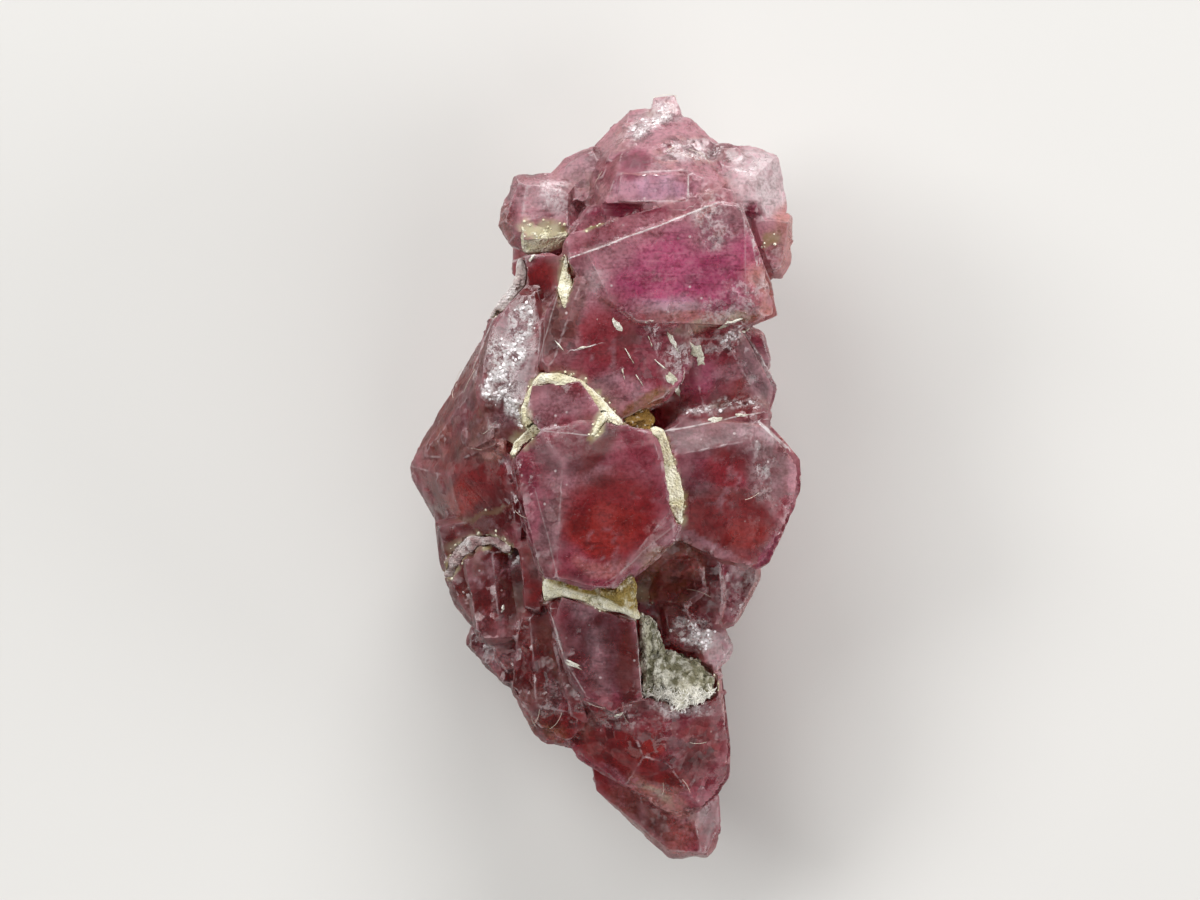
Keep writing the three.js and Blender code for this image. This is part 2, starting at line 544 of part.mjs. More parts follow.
// ---------------------------------------------------------------- the sides and the back
// The bodies that everything grew on. The middle one is broken off flat and rests on the surface.
const cores = [
  [
    [-2.9, 2.2, 0], [-3.2, -0.6, 0], [-2.5, -2.9, 0], [-0.4, -3.6, 0], [2.2, -3.2, 0], [3.1, -0.8, 0],
    [2.9, 2.2, 0], [1.4, 3.9, 0], [-1.3, 3.8, 0],
    [-3.9, 0.8, 2.2], [-3.3, -2.6, 2.6], [-0.6, -5.4, 2.2], [2.8, -4.2, 2.4], [4.1, -0.4, 2.6],
    [3.7, 3.4, 2.4], [1.2, 5.6, 2.2], [-2.2, 4.6, 2.4],
    [-2.6, 3.2, 5.2], [-2.6, -3.2, 4.6], [0.6, -5.6, 4.8], [3.0, -3.2, 4.8], [3.6, 1.6, 5.6],
    [2.6, 5.4, 5.6], [-1.2, 5.2, 5.6],
  ],
  [
    [-1.2, 4.0, 1.0], [2.8, 4.0, 1.0], [3.2, 6.6, 1.5], [1.2, 7.8, 1.7], [-1.3, 6.8, 1.7],
    [-1.9, 5.2, 3.4], [4.0, 5.2, 3.4],
    [-1.6, 7.2, 4.4], [1.4, 9.0, 4.2], [3.9, 7.6, 4.4], [0.6, 4.4, 6.0],
  ],
  [
    [-1.2, -3.2, 0.8], [2.2, -3.2, 0.8], [2.4, -6.6, 1.6], [1.4, -8.4, 2.4], [-0.2, -6.4, 1.8],
    [-1.5, -5.0, 1.8], [-1.7, -5.4, 3.8],
    [-0.2, -7.2, 3.8], [2.0, -8.6, 3.8], [2.8, -7.2, 4.2], [2.8, -4.6, 4.6], [0.0, -3.6, 5.0],
  ],
];

const sides = [
  // right side, from the head to the tail
  { tip: [4.4, 7.2, 4.0], aim: [0.9, 0.25, -0.1], across: 2.6, turn: 10 },
  { tip: [4.3, 5.7, 4.0], aim: [0.92, -0.2, -0.25], across: 2.1, turn: 35, flat: 0.7 },
  { tip: [3.7, 6.2, 2.4], aim: [0.75, 0.1, -0.65], across: 3.0, turn: 5, flat: 0.75, step: 0.2 },
  { tip: [3.7, 4.2, 4.3], aim: [0.95, -0.15, 0.1], across: 2.4, turn: 5, flat: 0.85 },
  { tip: [3.95, 3.2, 2.3], aim: [0.85, 0.1, -0.5], across: 3.4, turn: 25, flat: 0.8, step: 0.2 },
  { tip: [4.75, -0.2, 4.2], aim: [0.95, -0.05, -0.2], across: 3.3, turn: 20, flat: 0.8, step: 0.18 },
  { tip: [3.9, 0.6, 1.6], aim: [0.75, 0.05, -0.65], across: 3.2, turn: 0, flat: 0.7 },
  { tip: [3.85, -2.2, 3.7], aim: [0.85, -0.45, -0.2], across: 2.4, turn: 40, flat: 0.75 },
  { tip: [3.35, -2.3, 1.5], aim: [0.7, -0.3, -0.65], across: 2.9, turn: 18, flat: 0.75, step: 0.15 },
  { tip: [3.15, -4.2, 3.5], aim: [0.95, -0.15, -0.15], across: 2.3, turn: 15, flat: 0.7 },
  { tip: [3.05, -6.3, 3.7], aim: [0.97, 0.0, -0.15], across: 2.8, turn: 28, flat: 0.8 },
  { tip: [2.9, -8.1, 3.4], aim: [0.9, -0.25, -0.3], across: 1.8, turn: 5 },
  // left side, from the head to the tail
  { tip: [-2.1, 7.0, 4.0], aim: [-0.92, 0.2, -0.25], across: 2.5, turn: 15 },
  { tip: [-1.85, 5.3, 4.3], aim: [-0.95, 0.1, 0.0], across: 1.9, turn: 40, flat: 0.7 },
  { tip: [-1.7, 5.9, 2.4], aim: [-0.75, 0.15, -0.65], across: 2.7, turn: 0, flat: 0.75 },
  { tip: [-2.85, 3.5, 3.2], aim: [-0.85, 0.4, -0.25], across: 3.0, turn: 20, flat: 0.8, step: 0.18 },
  { tip: [-3.75, 1.5, 2.3], aim: [-0.82, 0.3, -0.5], across: 3.1, turn: 8, flat: 0.7, step: 0.15 },
  { tip: [-4.1, -0.9, 2.5], aim: [-0.9, -0.15, -0.4], across: 2.9, turn: 30, flat: 0.75 },
  { tip: [-3.5, -2.8, 3.2], aim: [-0.92, -0.25, -0.25], across: 2.5, turn: 12, flat: 0.75 },
  { tip: [-3.0, -2.3, 1.3], aim: [-0.7, -0.25, -0.65], across: 2.9, turn: 45, flat: 0.7 },
  { tip: [-2.65, -4.5, 2.9], aim: [-0.8, -0.5, -0.3], across: 2.4, turn: 50, flat: 0.8 },
  { tip: [-1.45, -6.1, 3.3], aim: [-0.75, -0.55, -0.25], across: 2.2, turn: 25, flat: 0.8 },
  // head and tail ends
  { tip: [-0.3, 8.2, 4.0], aim: [-0.4, 0.85, -0.25], across: 2.4, turn: 20 },
  { tip: [1.2, 9.0, 3.2], aim: [-0.1, 0.85, -0.5], across: 2.6, turn: 0, flat: 0.75 },
  { tip: [3.0, 8.5, 3.6], aim: [0.4, 0.85, -0.3], across: 2.3, turn: 35, flat: 0.8 },
  // underneath, clear of the flat break
  { tip: [1.0, 6.5, 0.9], aim: [0.05, 0.35, -0.9], across: 3.8, turn: 12, flat: 0.8, step: 0.25 },
  { tip: [2.9, 5.0, 1.1], aim: [0.5, 0.2, -0.8], across: 2.8, turn: 40 },
  { tip: [-1.2, 5.1, 1.3], aim: [-0.5, 0.25, -0.8], across: 2.7, turn: 20, flat: 0.7 },
  { tip: [0.9, -5.6, 0.9], aim: [0.05, -0.3, -0.9], across: 3.4, turn: 25, flat: 0.8, step: 0.2 },
  { tip: [-1.5, -4.6, 1.2], aim: [-0.45, -0.35, -0.8], across: 2.6, turn: 0, flat: 0.75 },
  { tip: [1.8, -7.7, 1.9], aim: [0.15, -0.45, -0.85], across: 2.5, turn: 15 },
  { tip: [-3.1, 1.9, 0.9], aim: [-0.6, 0.25, -0.75], across: 2.8, turn: 30, flat: 0.7 },
  { tip: [3.1, 2.5, 0.8], aim: [0.55, 0.2, -0.75], across: 2.8, turn: 10, flat: 0.7 },
];

// Where the break under the middle is scooped out: middle, depth and width.
const scoops = [
  [[-1.4, 1.2], 0.22, 3.2],
  [[1.6, -0.9], 0.3, 3.0],
  [[-0.9, -2.6], 0.16, 1.9],
];

// ---------------------------------------------------------------- feldspar and clay
// A seam is a row of beads: x, y, height of its top, and width. Each row is joined up in turn.
// A lump is a patch with a corner every few tenths: x, y and height, and how deep it goes.

const fills = {
  clay_upper_seam: {
    color: 0xe3dbb0,
    seams: [
      [
        [-2.22, 0.68, 7.6, 0.1], [-2.1, 0.9, 7.5, 0.2], [-1.66, 1.27, 7.6, 0.22],
        [-1.84, 1.55, 7.5, 0.3], [-1.9, 1.85, 7.45, 0.15], [-1.66, 2.38, 7.6, 0.2],
        [-1.42, 2.56, 7.8, 0.27], [-1.1, 2.56, 7.85, 0.25], [-0.5, 2.43, 7.8, 0.17],
        [0.0, 1.86, 7.75, 0.26], [0.2, 1.62, 7.85, 0.27], [0.45, 1.45, 8.0, 0.1],
      ],
      [[0.08, 1.66, 8.1, 0.2], [-0.06, 1.4, 8.35, 0.12], [-0.2, 1.15, 8.5, 0.05]],
    ],
  },
  clay_right_seam: {
    color: 0xe3dbb0,
    seams: [
      [
        [1.36, 1.24, 7.95, 0.1], [1.5, 1.17, 7.9, 0.17], [1.62, 0.85, 7.85, 0.15],
        [1.72, 0.5, 7.85, 0.2], [1.85, -0.1, 7.85, 0.27], [1.9, -0.45, 7.85, 0.33],
        [1.95, -0.8, 7.8, 0.2], [2.03, -1.06, 7.7, 0.08],
      ],
    ],
  },
  clay_lower_seam: {
    color: 0xd2bf86,
    deep: 1.4,
    lumps: [
      [[-1.42, -2.56, 7.55], [-0.98, -2.66, 7.6], [-0.96, -2.9, 7.5], [-1.43, -3.1, 7.2]],
      [[-1.02, -2.66, 7.6], [-0.2, -2.8, 7.65], [-0.28, -3.14, 7.45], [-1.0, -2.9, 7.5]],
      [
        [-0.24, -2.8, 7.65], [0.36, -2.86, 7.65], [0.86, -2.95, 7.35], [0.95, -3.52, 7.3],
        [0.3, -3.34, 7.4], [-0.32, -3.12, 7.45],
      ],
      [[0.32, -2.86, 7.6], [0.74, -2.45, 7.3], [0.86, -2.95, 7.35]],
    ],
  },
  ochre_plug: {
    color: 0xb08a3c,
    lumps: [
      [[0.62, 1.52, 7.5], [1.1, 1.72, 7.25], [1.28, 1.52, 7.3], [1.18, 1.34, 7.5], [0.85, 1.4, 7.5]],
    ],
  },
  feldspar_pocket: {
    color: 0xcfc9ad,
    deep: 1.2,
    lumps: [
      [[1.02, -3.5, 6.7], [1.4, -3.76, 6.2], [1.64, -4.5, 6.0], [1.06, -4.62, 6.4]],
      [
        [1.06, -4.58, 6.4], [1.62, -4.46, 6.0], [2.2, -4.6, 5.9], [1.9, -5.6, 6.15], [1.4, -5.66, 6.2],
        [1.1, -5.6, 6.25],
      ],
      [
        [2.16, -4.6, 5.9], [2.5, -4.76, 5.95], [2.95, -5.12, 6.0], [2.92, -5.6, 6.2], [2.0, -5.92, 6.3],
        [1.6, -5.6, 6.2],
      ],
    ],
  },
  clay_under_lobe: {
    color: 0xdcd3a2,
    lumps: [
      [[-1.95, 6.62, 6.35], [-1.5, 6.42, 6.35], [-1.62, 5.9, 5.95], [-1.95, 5.9, 5.9]],
      [[-1.54, 6.42, 6.35], [-1.0, 6.45, 6.3], [-0.86, 6.3, 6.2], [-1.1, 6.06, 6.0], [-1.64, 5.9, 5.95]],
    ],
  },
  clay_neck: {
    color: 0xdcd3a2,
    seams: [
      [
        [-0.93, 5.62, 7.3, 0.08], [-0.93, 5.3, 7.3, 0.2], [-0.9, 5.0, 7.5, 0.3],
        [-0.95, 4.75, 7.65, 0.2], [-0.98, 4.48, 7.8, 0.1],
      ],
    ],
  },
  feldspar_edge: {
    color: 0xdedcca,
    deep: 1.2,
    seams: [
      [
        [-2.1, 5.72, 5.4, 0.14], [-2.07, 5.35, 5.7, 0.26], [-2.14, 5.05, 5.75, 0.32],
        [-2.62, 4.5, 5.6, 0.24], [-2.84, 4.28, 5.4, 0.1],
      ],
    ],
  },
  feldspar_rim: {
    color: 0xc9c2b2,
    seams: [
      [
        [-3.98, -2.5, 4.9, 0.12], [-3.85, -2.15, 5.15, 0.2], [-3.6, -1.82, 5.5, 0.24],
        [-3.3, -1.62, 5.8, 0.26], [-2.75, -1.6, 6.1, 0.14], [-2.45, -1.8, 6.2, 0.1],
      ],
    ],
  },
};

/** One bead of a seam. As a cutter it is larger all round, and open upwards. */
function bead([x, y, z, width], deep, cutting) {
  const radius = width / 2 + (cutting ? FILL_GAP : 0);
  const ring = (height, scale) =>
    Array.from({ length: BEAD.corners }, (_, k) => {
      const angle = (k / BEAD.corners) * 2 * Math.PI + BEAD.turn[0] * x + BEAD.turn[1] * y;
      return [x + radius * scale * Math.cos(angle), y + radius * scale * Math.sin(angle), height];
    });
  if (cutting) return [...ring(z + OPEN, 1), ...ring(z - deep - FILL_GAP, 1)];
  return [...ring(z, 1), ...ring(z - deep, BEAD.foot), [x, y, z + width * BEAD.back]];
}

/** One lump. As a cutter it is larger all round, and open upwards. */
function lump(corners, deep, cutting) {
  const [mx, my] = middleOf(corners);
  const grown = inset(corners, cutting ? -2 * FILL_GAP : 0);
  const level = (share, lift) =>
    corners.map(([, , z], i) => [
      mx + (grown[i][0] - mx) * share,
      my + (grown[i][1] - my) * share,
      z + lift,
    ]);
  if (cutting) return block([...level(1, OPEN), ...level(1, -deep - FILL_GAP)]);
  return block([...level(LUMP.top, LUMP.lift), ...level(1, LUMP.rim), ...level(LUMP.foot, -deep)]);
}

/** All of one fill, or the cutter for its groove. */
function fillSolid({ seams = [], lumps = [], deep = FILL_DEPTH }, cutting) {
  const blocks = lumps.map((corners) => lump(corners, deep, cutting));
  for (const stations of seams) {
    const beads = stations.map((station) => bead(station, deep, cutting));
    for (let i = 1; i < beads.length; i += 1) blocks.push(block([...beads[i - 1], ...beads[i]]));
  }
  return blocks.reduce((solid, next) => solid.add(next));
}

// ---------------------------------------------------------------- assembly
/** The largest of a solid's separate bodies. */
function largest(solid) {
  return solid.decompose().sort((a, b) => b.volume() - a.volume())[0];
}

/** The crystals, all grown into one another. */
function makeCluster() {
  let solid = block(peak).add(block(wing)).add(block(knob));
  for (const points of [...wingLayers, ...cores]) solid = solid.add(block(points));
  for (const shape of [...head, ...shoulder, ...middle, ...flank, ...foot]) {
    solid = solid.add(crystal(shape));
  }
  for (const shape of [...small, ...sides]) solid = solid.add(prism(shape));
  solid = split(solid, [0, 0, 0], [0, 0, -1]);
  solid = split(solid, [0, HALF_LENGTH, 0], [0, 1, 0]);
  solid = split(solid, [HALF_WIDTH, 0, 0], [1, 0, 0]);
  for (const [at, depth, across] of scoops) solid = solid.subtract(scoop(at, depth, across));
  for (const fill of Object.values(fills)) solid = solid.subtract(fillSolid(fill, true));
  return largest(solid);
}

/** A named mesh of a solid. */
function piece(name, solid, { color, roughness }) {
  const material = new THREE.MeshStandardMaterial({ color, roughness, metalness: 0 });
  const mesh = new THREE.Mesh(geometryOf(solid), material);
  mesh.name = name;
  return mesh;
}

const group = new THREE.Group();
group.add(piece("crystal_cluster", makeCluster(), CRYSTAL));
for (const [name, fill] of Object.entries(fills)) {
  group.add(piece(name, fillSolid(fill, false), { color: fill.color, roughness: FILL_ROUGHNESS }));
}

export default group;
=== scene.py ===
"""The looks of a pezzottaite crystal cluster, lying on its broken back with its best side up.

Everything is in metres in the part's own frame, but shapes are worked out in millimetres and
brought back by MM. The CAD solids give the crystals and what fills their seams; this script
makes the skin of each: growth plates, worn edges, etched patches, clay crumbs, fine fibres.
"""
import itertools
import math

import bmesh
import bpy
import numpy as np
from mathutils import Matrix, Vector
from mathutils.bvhtree import BVHTree
from mathutils.kdtree import KDTree


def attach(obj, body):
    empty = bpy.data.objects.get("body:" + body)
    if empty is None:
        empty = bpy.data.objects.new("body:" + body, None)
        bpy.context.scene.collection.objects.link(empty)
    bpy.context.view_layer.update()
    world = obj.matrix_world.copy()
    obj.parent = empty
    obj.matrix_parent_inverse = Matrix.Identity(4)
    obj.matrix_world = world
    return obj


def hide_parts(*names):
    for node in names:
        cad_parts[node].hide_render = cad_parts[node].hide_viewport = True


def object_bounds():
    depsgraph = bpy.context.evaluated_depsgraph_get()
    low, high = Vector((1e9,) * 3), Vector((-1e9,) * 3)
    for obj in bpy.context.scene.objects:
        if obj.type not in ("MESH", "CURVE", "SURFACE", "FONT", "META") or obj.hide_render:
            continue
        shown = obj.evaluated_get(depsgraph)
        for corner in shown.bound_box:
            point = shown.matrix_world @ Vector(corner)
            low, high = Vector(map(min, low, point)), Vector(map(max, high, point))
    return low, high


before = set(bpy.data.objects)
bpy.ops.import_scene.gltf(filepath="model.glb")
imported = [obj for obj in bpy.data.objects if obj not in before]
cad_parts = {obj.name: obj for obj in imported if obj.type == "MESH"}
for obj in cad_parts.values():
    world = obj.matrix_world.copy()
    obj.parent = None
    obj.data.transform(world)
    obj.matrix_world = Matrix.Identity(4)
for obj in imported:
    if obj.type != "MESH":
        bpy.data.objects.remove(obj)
cad_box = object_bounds()

MM = 0.001
SEED = 7

# ------------------------------------------------------------------ driving sizes, millimetres
SKIN = 0.092  # mesh size of the crystals
EDGE_STEP = 0.04  # how closely the sharp edges are followed
CREASE_ANGLE = math.radians(18)  # neighbouring faces that turn more than this meet in an edge
FACE_ANGLE = math.radians(2)  # triangles that turn less than this belong to one face
SHADE_ANGLE = math.radians(24)  # edges that turn more than this stay crisp
FILL_SKIN = 0.035  # mesh size of the clay and feldspar
FILL_SWELL = 0.055  # how far the fills swell sideways to meet the crystals
LOBE_SWELL = 0.12  # the same for the clay under the left lobe
CLAY_RISE = 0.3  # how far the clay round the small crystal stands up to its edges
NECK_MIDDLE = -0.89  # where the clay in the neck lies, east
EDGE_WEAR = 0.09  # how far wear reaches in from an outward edge
EDGE_BREAKS = 0.18  # how far breaks reach in from it
CREASE_REACH = 0.16  # how far an inward edge is felt
CREASE_SHARE = 0.5  # points nearer to an edge than this share of the mesh size lie on it
BUMP = 0.025 * MM  # height of the finest relief on the crystals
EARTH_BUMP = 0.04 * MM  # height of the grit on clay and feldspar
VEIL_THICKNESS = 0.03 * MM  # of the veils that are lenses
ROOM = 0.12 * MM  # how far the skin may stand out of the CAD's box
HALF = np.array([5.15, 10.1])  # half the cluster's width and length
FRONT = 1.8  # the colour patches below lie on what is higher than this
CHIP_CORNERS = 11  # round each cream chip

# ------------------------------------------------------------------ stage sizes, metres
LENS = 120
SENSOR = 36
CAMERA = (-0.000026, 0.000763, 0.0045 + 0.105263)
AIM = (0, 0, 0.004)  # the point that every light faces
LIGHTS = {  # place, width and power
    "key": ((0.03, 0.30, 0.12), 0.2, 1.22),
    "top": ((-0.15, 0.17, 0.25), 0.2, 0.5),
    "side": ((-0.24, 0.07, 0.22), 0.12, 0.36),
    "fill": ((0.16, -0.16, 0.24), 0.24, 0.28),
    "rim": ((0.28, -0.04, 0.07), 0.2, 0.6),
}

# ------------------------------------------------------------------ colours
PIGMENTS = {
    "deep_red": "8e1c1e",
    "garnet": "6a1016",
    "wine": "861a42",
    "fire": "a82a22",
    "raspberry": "98384a",
    "hot_pink": "cc5886",
    "magenta": "a42c60",
    "rose": "c88c9a",
    "lilac": "9c747c",
    "haze": "7a5054",
    "mauve": "6c343c",
    "orchid": "dca6c2",
    "brick": "74342a",
    "milky": "eedce0",
    "salmon": "d48c80",
    "brown_red": "6c2620",
    "dark": "501c1a",
    "olive": "96703c",
    "orange": "8c4e30",
    "cream": "d8cbb4",
}

# Patches of colour on the upper side, some of them painted highlights, glow and shade: pigment, middle,
# half width, half length, turn in degrees and strength. Later ones lie over earlier ones.
PATCHES = [
    # the head
    ("rose", (1.4, 8.3), 2.6, 2.0, 0, 0.9),
    ("rose", (-1.5, 7.0), 1.3, 1.2, 0, 0.6),
    ("milky", (-1.7, 7.3), 0.5, 0.5, 0, 0.3),
    # painted glow: the left lobe's rim, salmon where light shines through
    ("salmon", (-2.6, 6.8), 0.28, 0.8, 10, 0.7),
    # painted highlight on the left lobe
    ("milky", (-1.2, 7.35), 0.35, 0.6, 30, 0.5),
    ("haze", (-0.5, 7.4), 0.5, 0.8, 20, 0.7),
    # painted highlights on the peak
    ("milky", (1.2, 9.3), 0.9, 0.3, 30, 0.5),
    ("milky", (1.7, 9.7), 0.45, 0.4, 0, 0.7),
    ("magenta", (0.82, 8.1), 0.45, 0.35, 0, 0.8),
    ("wine", (0.84, 8.1), 0.44, 0.32, 0, 1.0),
    ("wine", (0.2, 7.82), 0.25, 0.6, 8, 1.0),
    ("orchid", (1.3, 7.5), 1.0, 0.34, 2, 0.9),
    ("rose", (0.75, 7.45), 0.3, 0.3, 0, 0.5),
    # the dark wine wedge under the ridge: partly its own colour, partly painted shade of the recess
    ("wine", (0.7, 6.84), 1.1, 0.2, 3, 1.0),
    ("raspberry", (1.0, 6.55), 1.6, 0.3, 20, 0.5),
    # painted highlight on the peak's right slope, and the right lobe's milky white, partly a painted
    # highlight
    ("milky", (2.2, 8.5), 0.7, 0.3, 20, 0.45),
    ("milky", (4.2, 7.7), 0.9, 1.1, 0, 1.0),
    ("haze", (3.2, 8.45), 0.5, 0.3, 0, 0.9),
    ("wine", (3.88, 6.84), 0.26, 0.34, 10, 1.0),
    # painted glow: salmon where light shines through the head's right rim
    ("salmon", (4.8, 6.1), 0.5, 0.9, 0, 0.9),
    ("rose", (4.3, 6.5), 0.25, 0.25, 0, 0.6),
    ("olive", (4.42, 6.1), 0.22, 0.38, -20, 0.8),
    # painted glow along the right lobe's rim
    ("salmon", (5.0, 7.2), 0.25, 0.8, 0, 0.6),
    # the box crystal
    ("rose", (1.7, 5.2), 3.0, 1.5, 12, 0.9),
    ("hot_pink", (2.3, 5.35), 2.0, 1.1, 12, 0.9),
    ("magenta", (2.7, 5.1), 0.9, 0.5, 30, 0.6),
    ("magenta", (0.7, 4.75), 0.6, 0.35, -30, 0.7),
    ("lilac", (3.0, 6.4), 0.9, 0.5, 20, 0.6),
    ("rose", (-0.3, 5.0), 0.6, 0.6, 0, 0.8),
    ("milky", (-0.15, 5.05), 0.35, 0.4, 0, 0.7),
    ("hot_pink", (1.9, 4.5), 1.7, 0.4, 8, 0.9),
    # painted glow along the box crystal's lower edge, lit through
    ("orchid", (1.5, 4.42), 1.0, 0.24, 8, 0.9),
    ("milky", (1.7, 4.36), 1.1, 0.16, 8, 0.55),
    ("salmon", (1.7, 4.16), 1.5, 0.14, 6, 0.9),
    ("hot_pink", (3.3, 4.7), 0.5, 0.5, 20, 0.7),
    # painted glow: salmon along the box crystal's right edge
    ("salmon", (4.2, 4.75), 0.5, 0.9, 20, 0.95),
    ("hot_pink", (3.6, 4.6), 0.5, 0.5, 0, 0.6),
    # the olive band in the groove under the box, with painted light in cream where the box's overhang shades
    # it
    ("olive", (2.9, 3.99), 1.1, 0.2, 10, 1.0),
    ("cream", (2.8, 4.0), 1.0, 0.18, 10, 0.8),
    # under the box
    ("raspberry", (0.3, 3.4), 1.9, 1.2, 0, 0.8),
    ("deep_red", (0.1, 3.6), 0.8, 0.7, 0, 0.6),
    ("rose", (0.5, 2.2), 0.9, 0.5, 0, 0.75),
    ("haze", (-1.0, 3.4), 0.4, 0.8, 0, 0.5),
    ("deep_red", (-1.35, 5.1), 0.25, 0.7, 0, 0.7),
    ("garnet", (-1.85, 4.7), 0.5, 0.6, 0, 0.9),
    ("raspberry", (-1.0, 4.2), 0.35, 0.8, -10, 0.9),
    ("brown_red", (-0.95, 4.2), 0.4, 1.1, -18, 1.0),
    ("haze", (-0.55, 4.7), 0.25, 0.4, -15, 0.6),
    # painted light: brighter pinks lift the place that the box shades
    ("raspberry", (2.4, 2.5), 0.9, 0.8, 0, 1.0),
    ("hot_pink", (2.4, 2.6), 0.5, 0.5, 0, 0.5),
    ("raspberry", (3.2, 3.3), 0.7, 0.7, 0, 0.7),
    ("lilac", (4.1, 2.8), 0.5, 0.9, 20, 0.85),
    ("rose", (3.2, 2.75), 0.6, 0.2, 15, 0.5),
    # the long bright crystal and the wing
    ("lilac", (-2.5, 2.6), 0.7, 1.8, -12, 0.8),
    ("haze", (-1.9, 1.6), 0.4, 0.9, 20, 0.4),
    ("brown_red", (-3.7, 2.0), 1.1, 2.0, -32, 1.0),
    ("deep_red", (-3.8, 1.5), 0.8, 1.8, -32, 0.75),
    ("lilac", (-3.3, 2.4), 0.1, 1.2, -32, 0.5),
    ("raspberry", (-3.5, 1.9), 0.25, 0.9, -32, 0.6),
    ("orange", (-4.2, 1.0), 0.15, 0.7, -32, 0.4),
    ("haze", (-4.8, 0.35), 0.35, 0.4, 0, 0.5),
    ("brick", (-3.0, 0.9), 0.9, 0.6, 10, 0.8),
    ("orange", (-2.8, 0.8), 0.5, 0.3, 10, 0.9),
    ("salmon", (-2.75, 0.85), 0.4, 0.22, 10, 0.7),
    ("deep_red", (-3.3, -0.2), 1.3, 0.8, 0, 0.95),
    ("garnet", (-3.9, -0.7), 0.8, 0.7, 20, 0.9),
    ("fire", (-3.7, -0.5), 0.5, 0.4, 20, 0.9),
    ("garnet", (-2.6, -0.75), 0.7, 0.5, 0, 0.95),
    # the small crystal and the central one
    ("lilac", (-1.0, 1.75), 0.7, 0.6, 0, 0.6),
    ("raspberry", (-0.9, 1.4), 0.6, 0.2, 0, 0.6),
    ("raspberry", (-0.6, 0.5), 1.4, 0.9, 0, 0.8),
    ("mauve", (-0.7, 0.7), 1.0, 0.5, 0, 0.7),
    ("haze", (-0.5, 0.1), 0.9, 0.35, -20, 0.6),
    ("lilac", (0.1, 0.1), 0.8, 0.3, 10, 0.8),
    ("rose", (0.15, 0.12), 0.6, 0.16, 10, 0.6),
    ("rose", (0.6, 0.0), 0.5, 0.09, -15, 0.6),
    ("rose", (-0.45, -0.3), 0.4, 0.1, 30, 0.5),
    ("garnet", (-0.35, 0.35), 0.22, 0.16, 0, 0.7),
    ("garnet", (0.55, 0.45), 0.35, 0.14, 35, 0.8),
    ("haze", (-0.9, -0.7), 0.3, 0.5, 0, 0.5),
    ("rose", (-0.95, -0.1), 0.45, 0.35, -20, 0.4),
    ("garnet", (-0.05, 0.92), 0.7, 0.36, 50, 1.0),
    ("mauve", (-0.95, 0.5), 0.5, 0.3, 0, 0.8),
    ("raspberry", (1.0, 0.5), 0.7, 0.8, 0, 0.9),
    ("deep_red", (0.3, -0.9), 1.4, 1.2, 0, 0.9),
    ("fire", (0.2, -1.2), 1.0, 0.6, 10, 0.75),
    ("haze", (-1.35, -1.5), 0.3, 1.2, -12, 0.8),
    ("raspberry", (-0.3, -2.3), 0.9, 0.4, 0, 0.6),
    ("salmon", (0.0, -2.2), 0.7, 0.25, 0, 0.4),
    ("rose", (1.4, -1.8), 0.9, 0.18, 42, 0.6),
    ("hot_pink", (1.3, -1.95), 0.8, 0.14, 42, 0.5),
    ("olive", (1.25, 1.95), 0.8, 0.2, 30, 0.8),
    # the large right-hand crystal
    ("haze", (3.0, 1.2), 1.4, 0.4, 5, 0.85),
    ("mauve", (2.9, 0.8), 1.2, 0.2, 3, 0.8),
    ("lilac", (3.7, 1.35), 0.5, 0.14, 12, 0.7),
    ("haze", (4.3, 0.3), 0.6, 0.8, 0, 0.9),
    ("deep_red", (3.15, 0.3), 0.65, 0.6, 0, 0.75),
    ("mauve", (2.3, -0.3), 0.5, 0.9, 0, 0.6),
    ("haze", (3.1, -0.35), 1.2, 0.16, 4, 0.8),
    ("mauve", (2.1, 1.35), 0.4, 0.25, 0, 0.7),
    ("mauve", (3.2, 1.1), 0.4, 0.22, 0, 0.7),
    ("milky", (4.25, 1.15), 0.35, 0.2, -30, 0.5),
    ("deep_red", (3.3, -1.0), 1.3, 0.8, 0, 0.9),
    ("fire", (3.7, -1.4), 0.6, 0.4, 0, 0.7),
    ("rose", (2.6, -1.75), 0.7, 0.2, -28, 0.9),
    # painted glow along the right crystal's east edge
    ("rose", (4.85, -0.2), 0.16, 0.9, 0, 0.6),
    ("hot_pink", (4.3, -1.9), 0.5, 0.2, 50, 0.6),
    ("rose", (2.6, -1.6), 0.9, 0.1, -28, 0.6),
    # the left flank
    ("brown_red", (-3.2, -2.2), 0.9, 1.2, 0, 0.95),
    ("garnet", (-3.1, -2.3), 0.6, 1.0, 0, 1.0),
    ("dark", (-2.35, -2.8), 0.35, 0.9, 0, 0.9),
    ("garnet", (-3.95, -2.3), 0.5, 1.0, 10, 1.0),
    ("brick", (-3.6, -3.2), 0.4, 0.5, 10, 0.8),
    ("garnet", (-3.15, -2.4), 0.5, 0.9, 0, 1.0),
    ("haze", (-3.3, -4.4), 0.5, 0.4, 0, 0.7),
    ("lilac", (-2.45, -4.6), 0.4, 0.4, 0, 0.9),
    ("brown_red", (-1.6, -4.8), 0.9, 1.4, 0, 0.9),
    ("brick", (-1.5, -4.3), 0.3, 0.7, 15, 0.8),
    ("garnet", (-1.65, -4.9), 0.4, 0.5, 10, 0.9),
    ("dark", (-0.95, -5.3), 0.2, 0.6, 20, 0.7),
    ("brown_red", (-1.8, -6.2), 0.9, 0.6, -35, 0.95),
    ("brick", (-1.95, -6.0), 0.5, 0.3, -35, 0.7),
    ("fire", (-1.2, -6.25), 0.4, 0.2, -35, 0.6),
    ("orange", (-1.5, -6.6), 0.6, 0.25, -35, 0.6),
    ("olive", (-1.14, -6.65), 0.4, 0.3, -35, 1.0),
    ("salmon", (-1.2, -6.75), 0.3, 0.15, -35, 0.7),
    # the lower prism and the pocket
    ("mauve", (-0.1, -4.3), 1.0, 1.3, 0, 0.95),
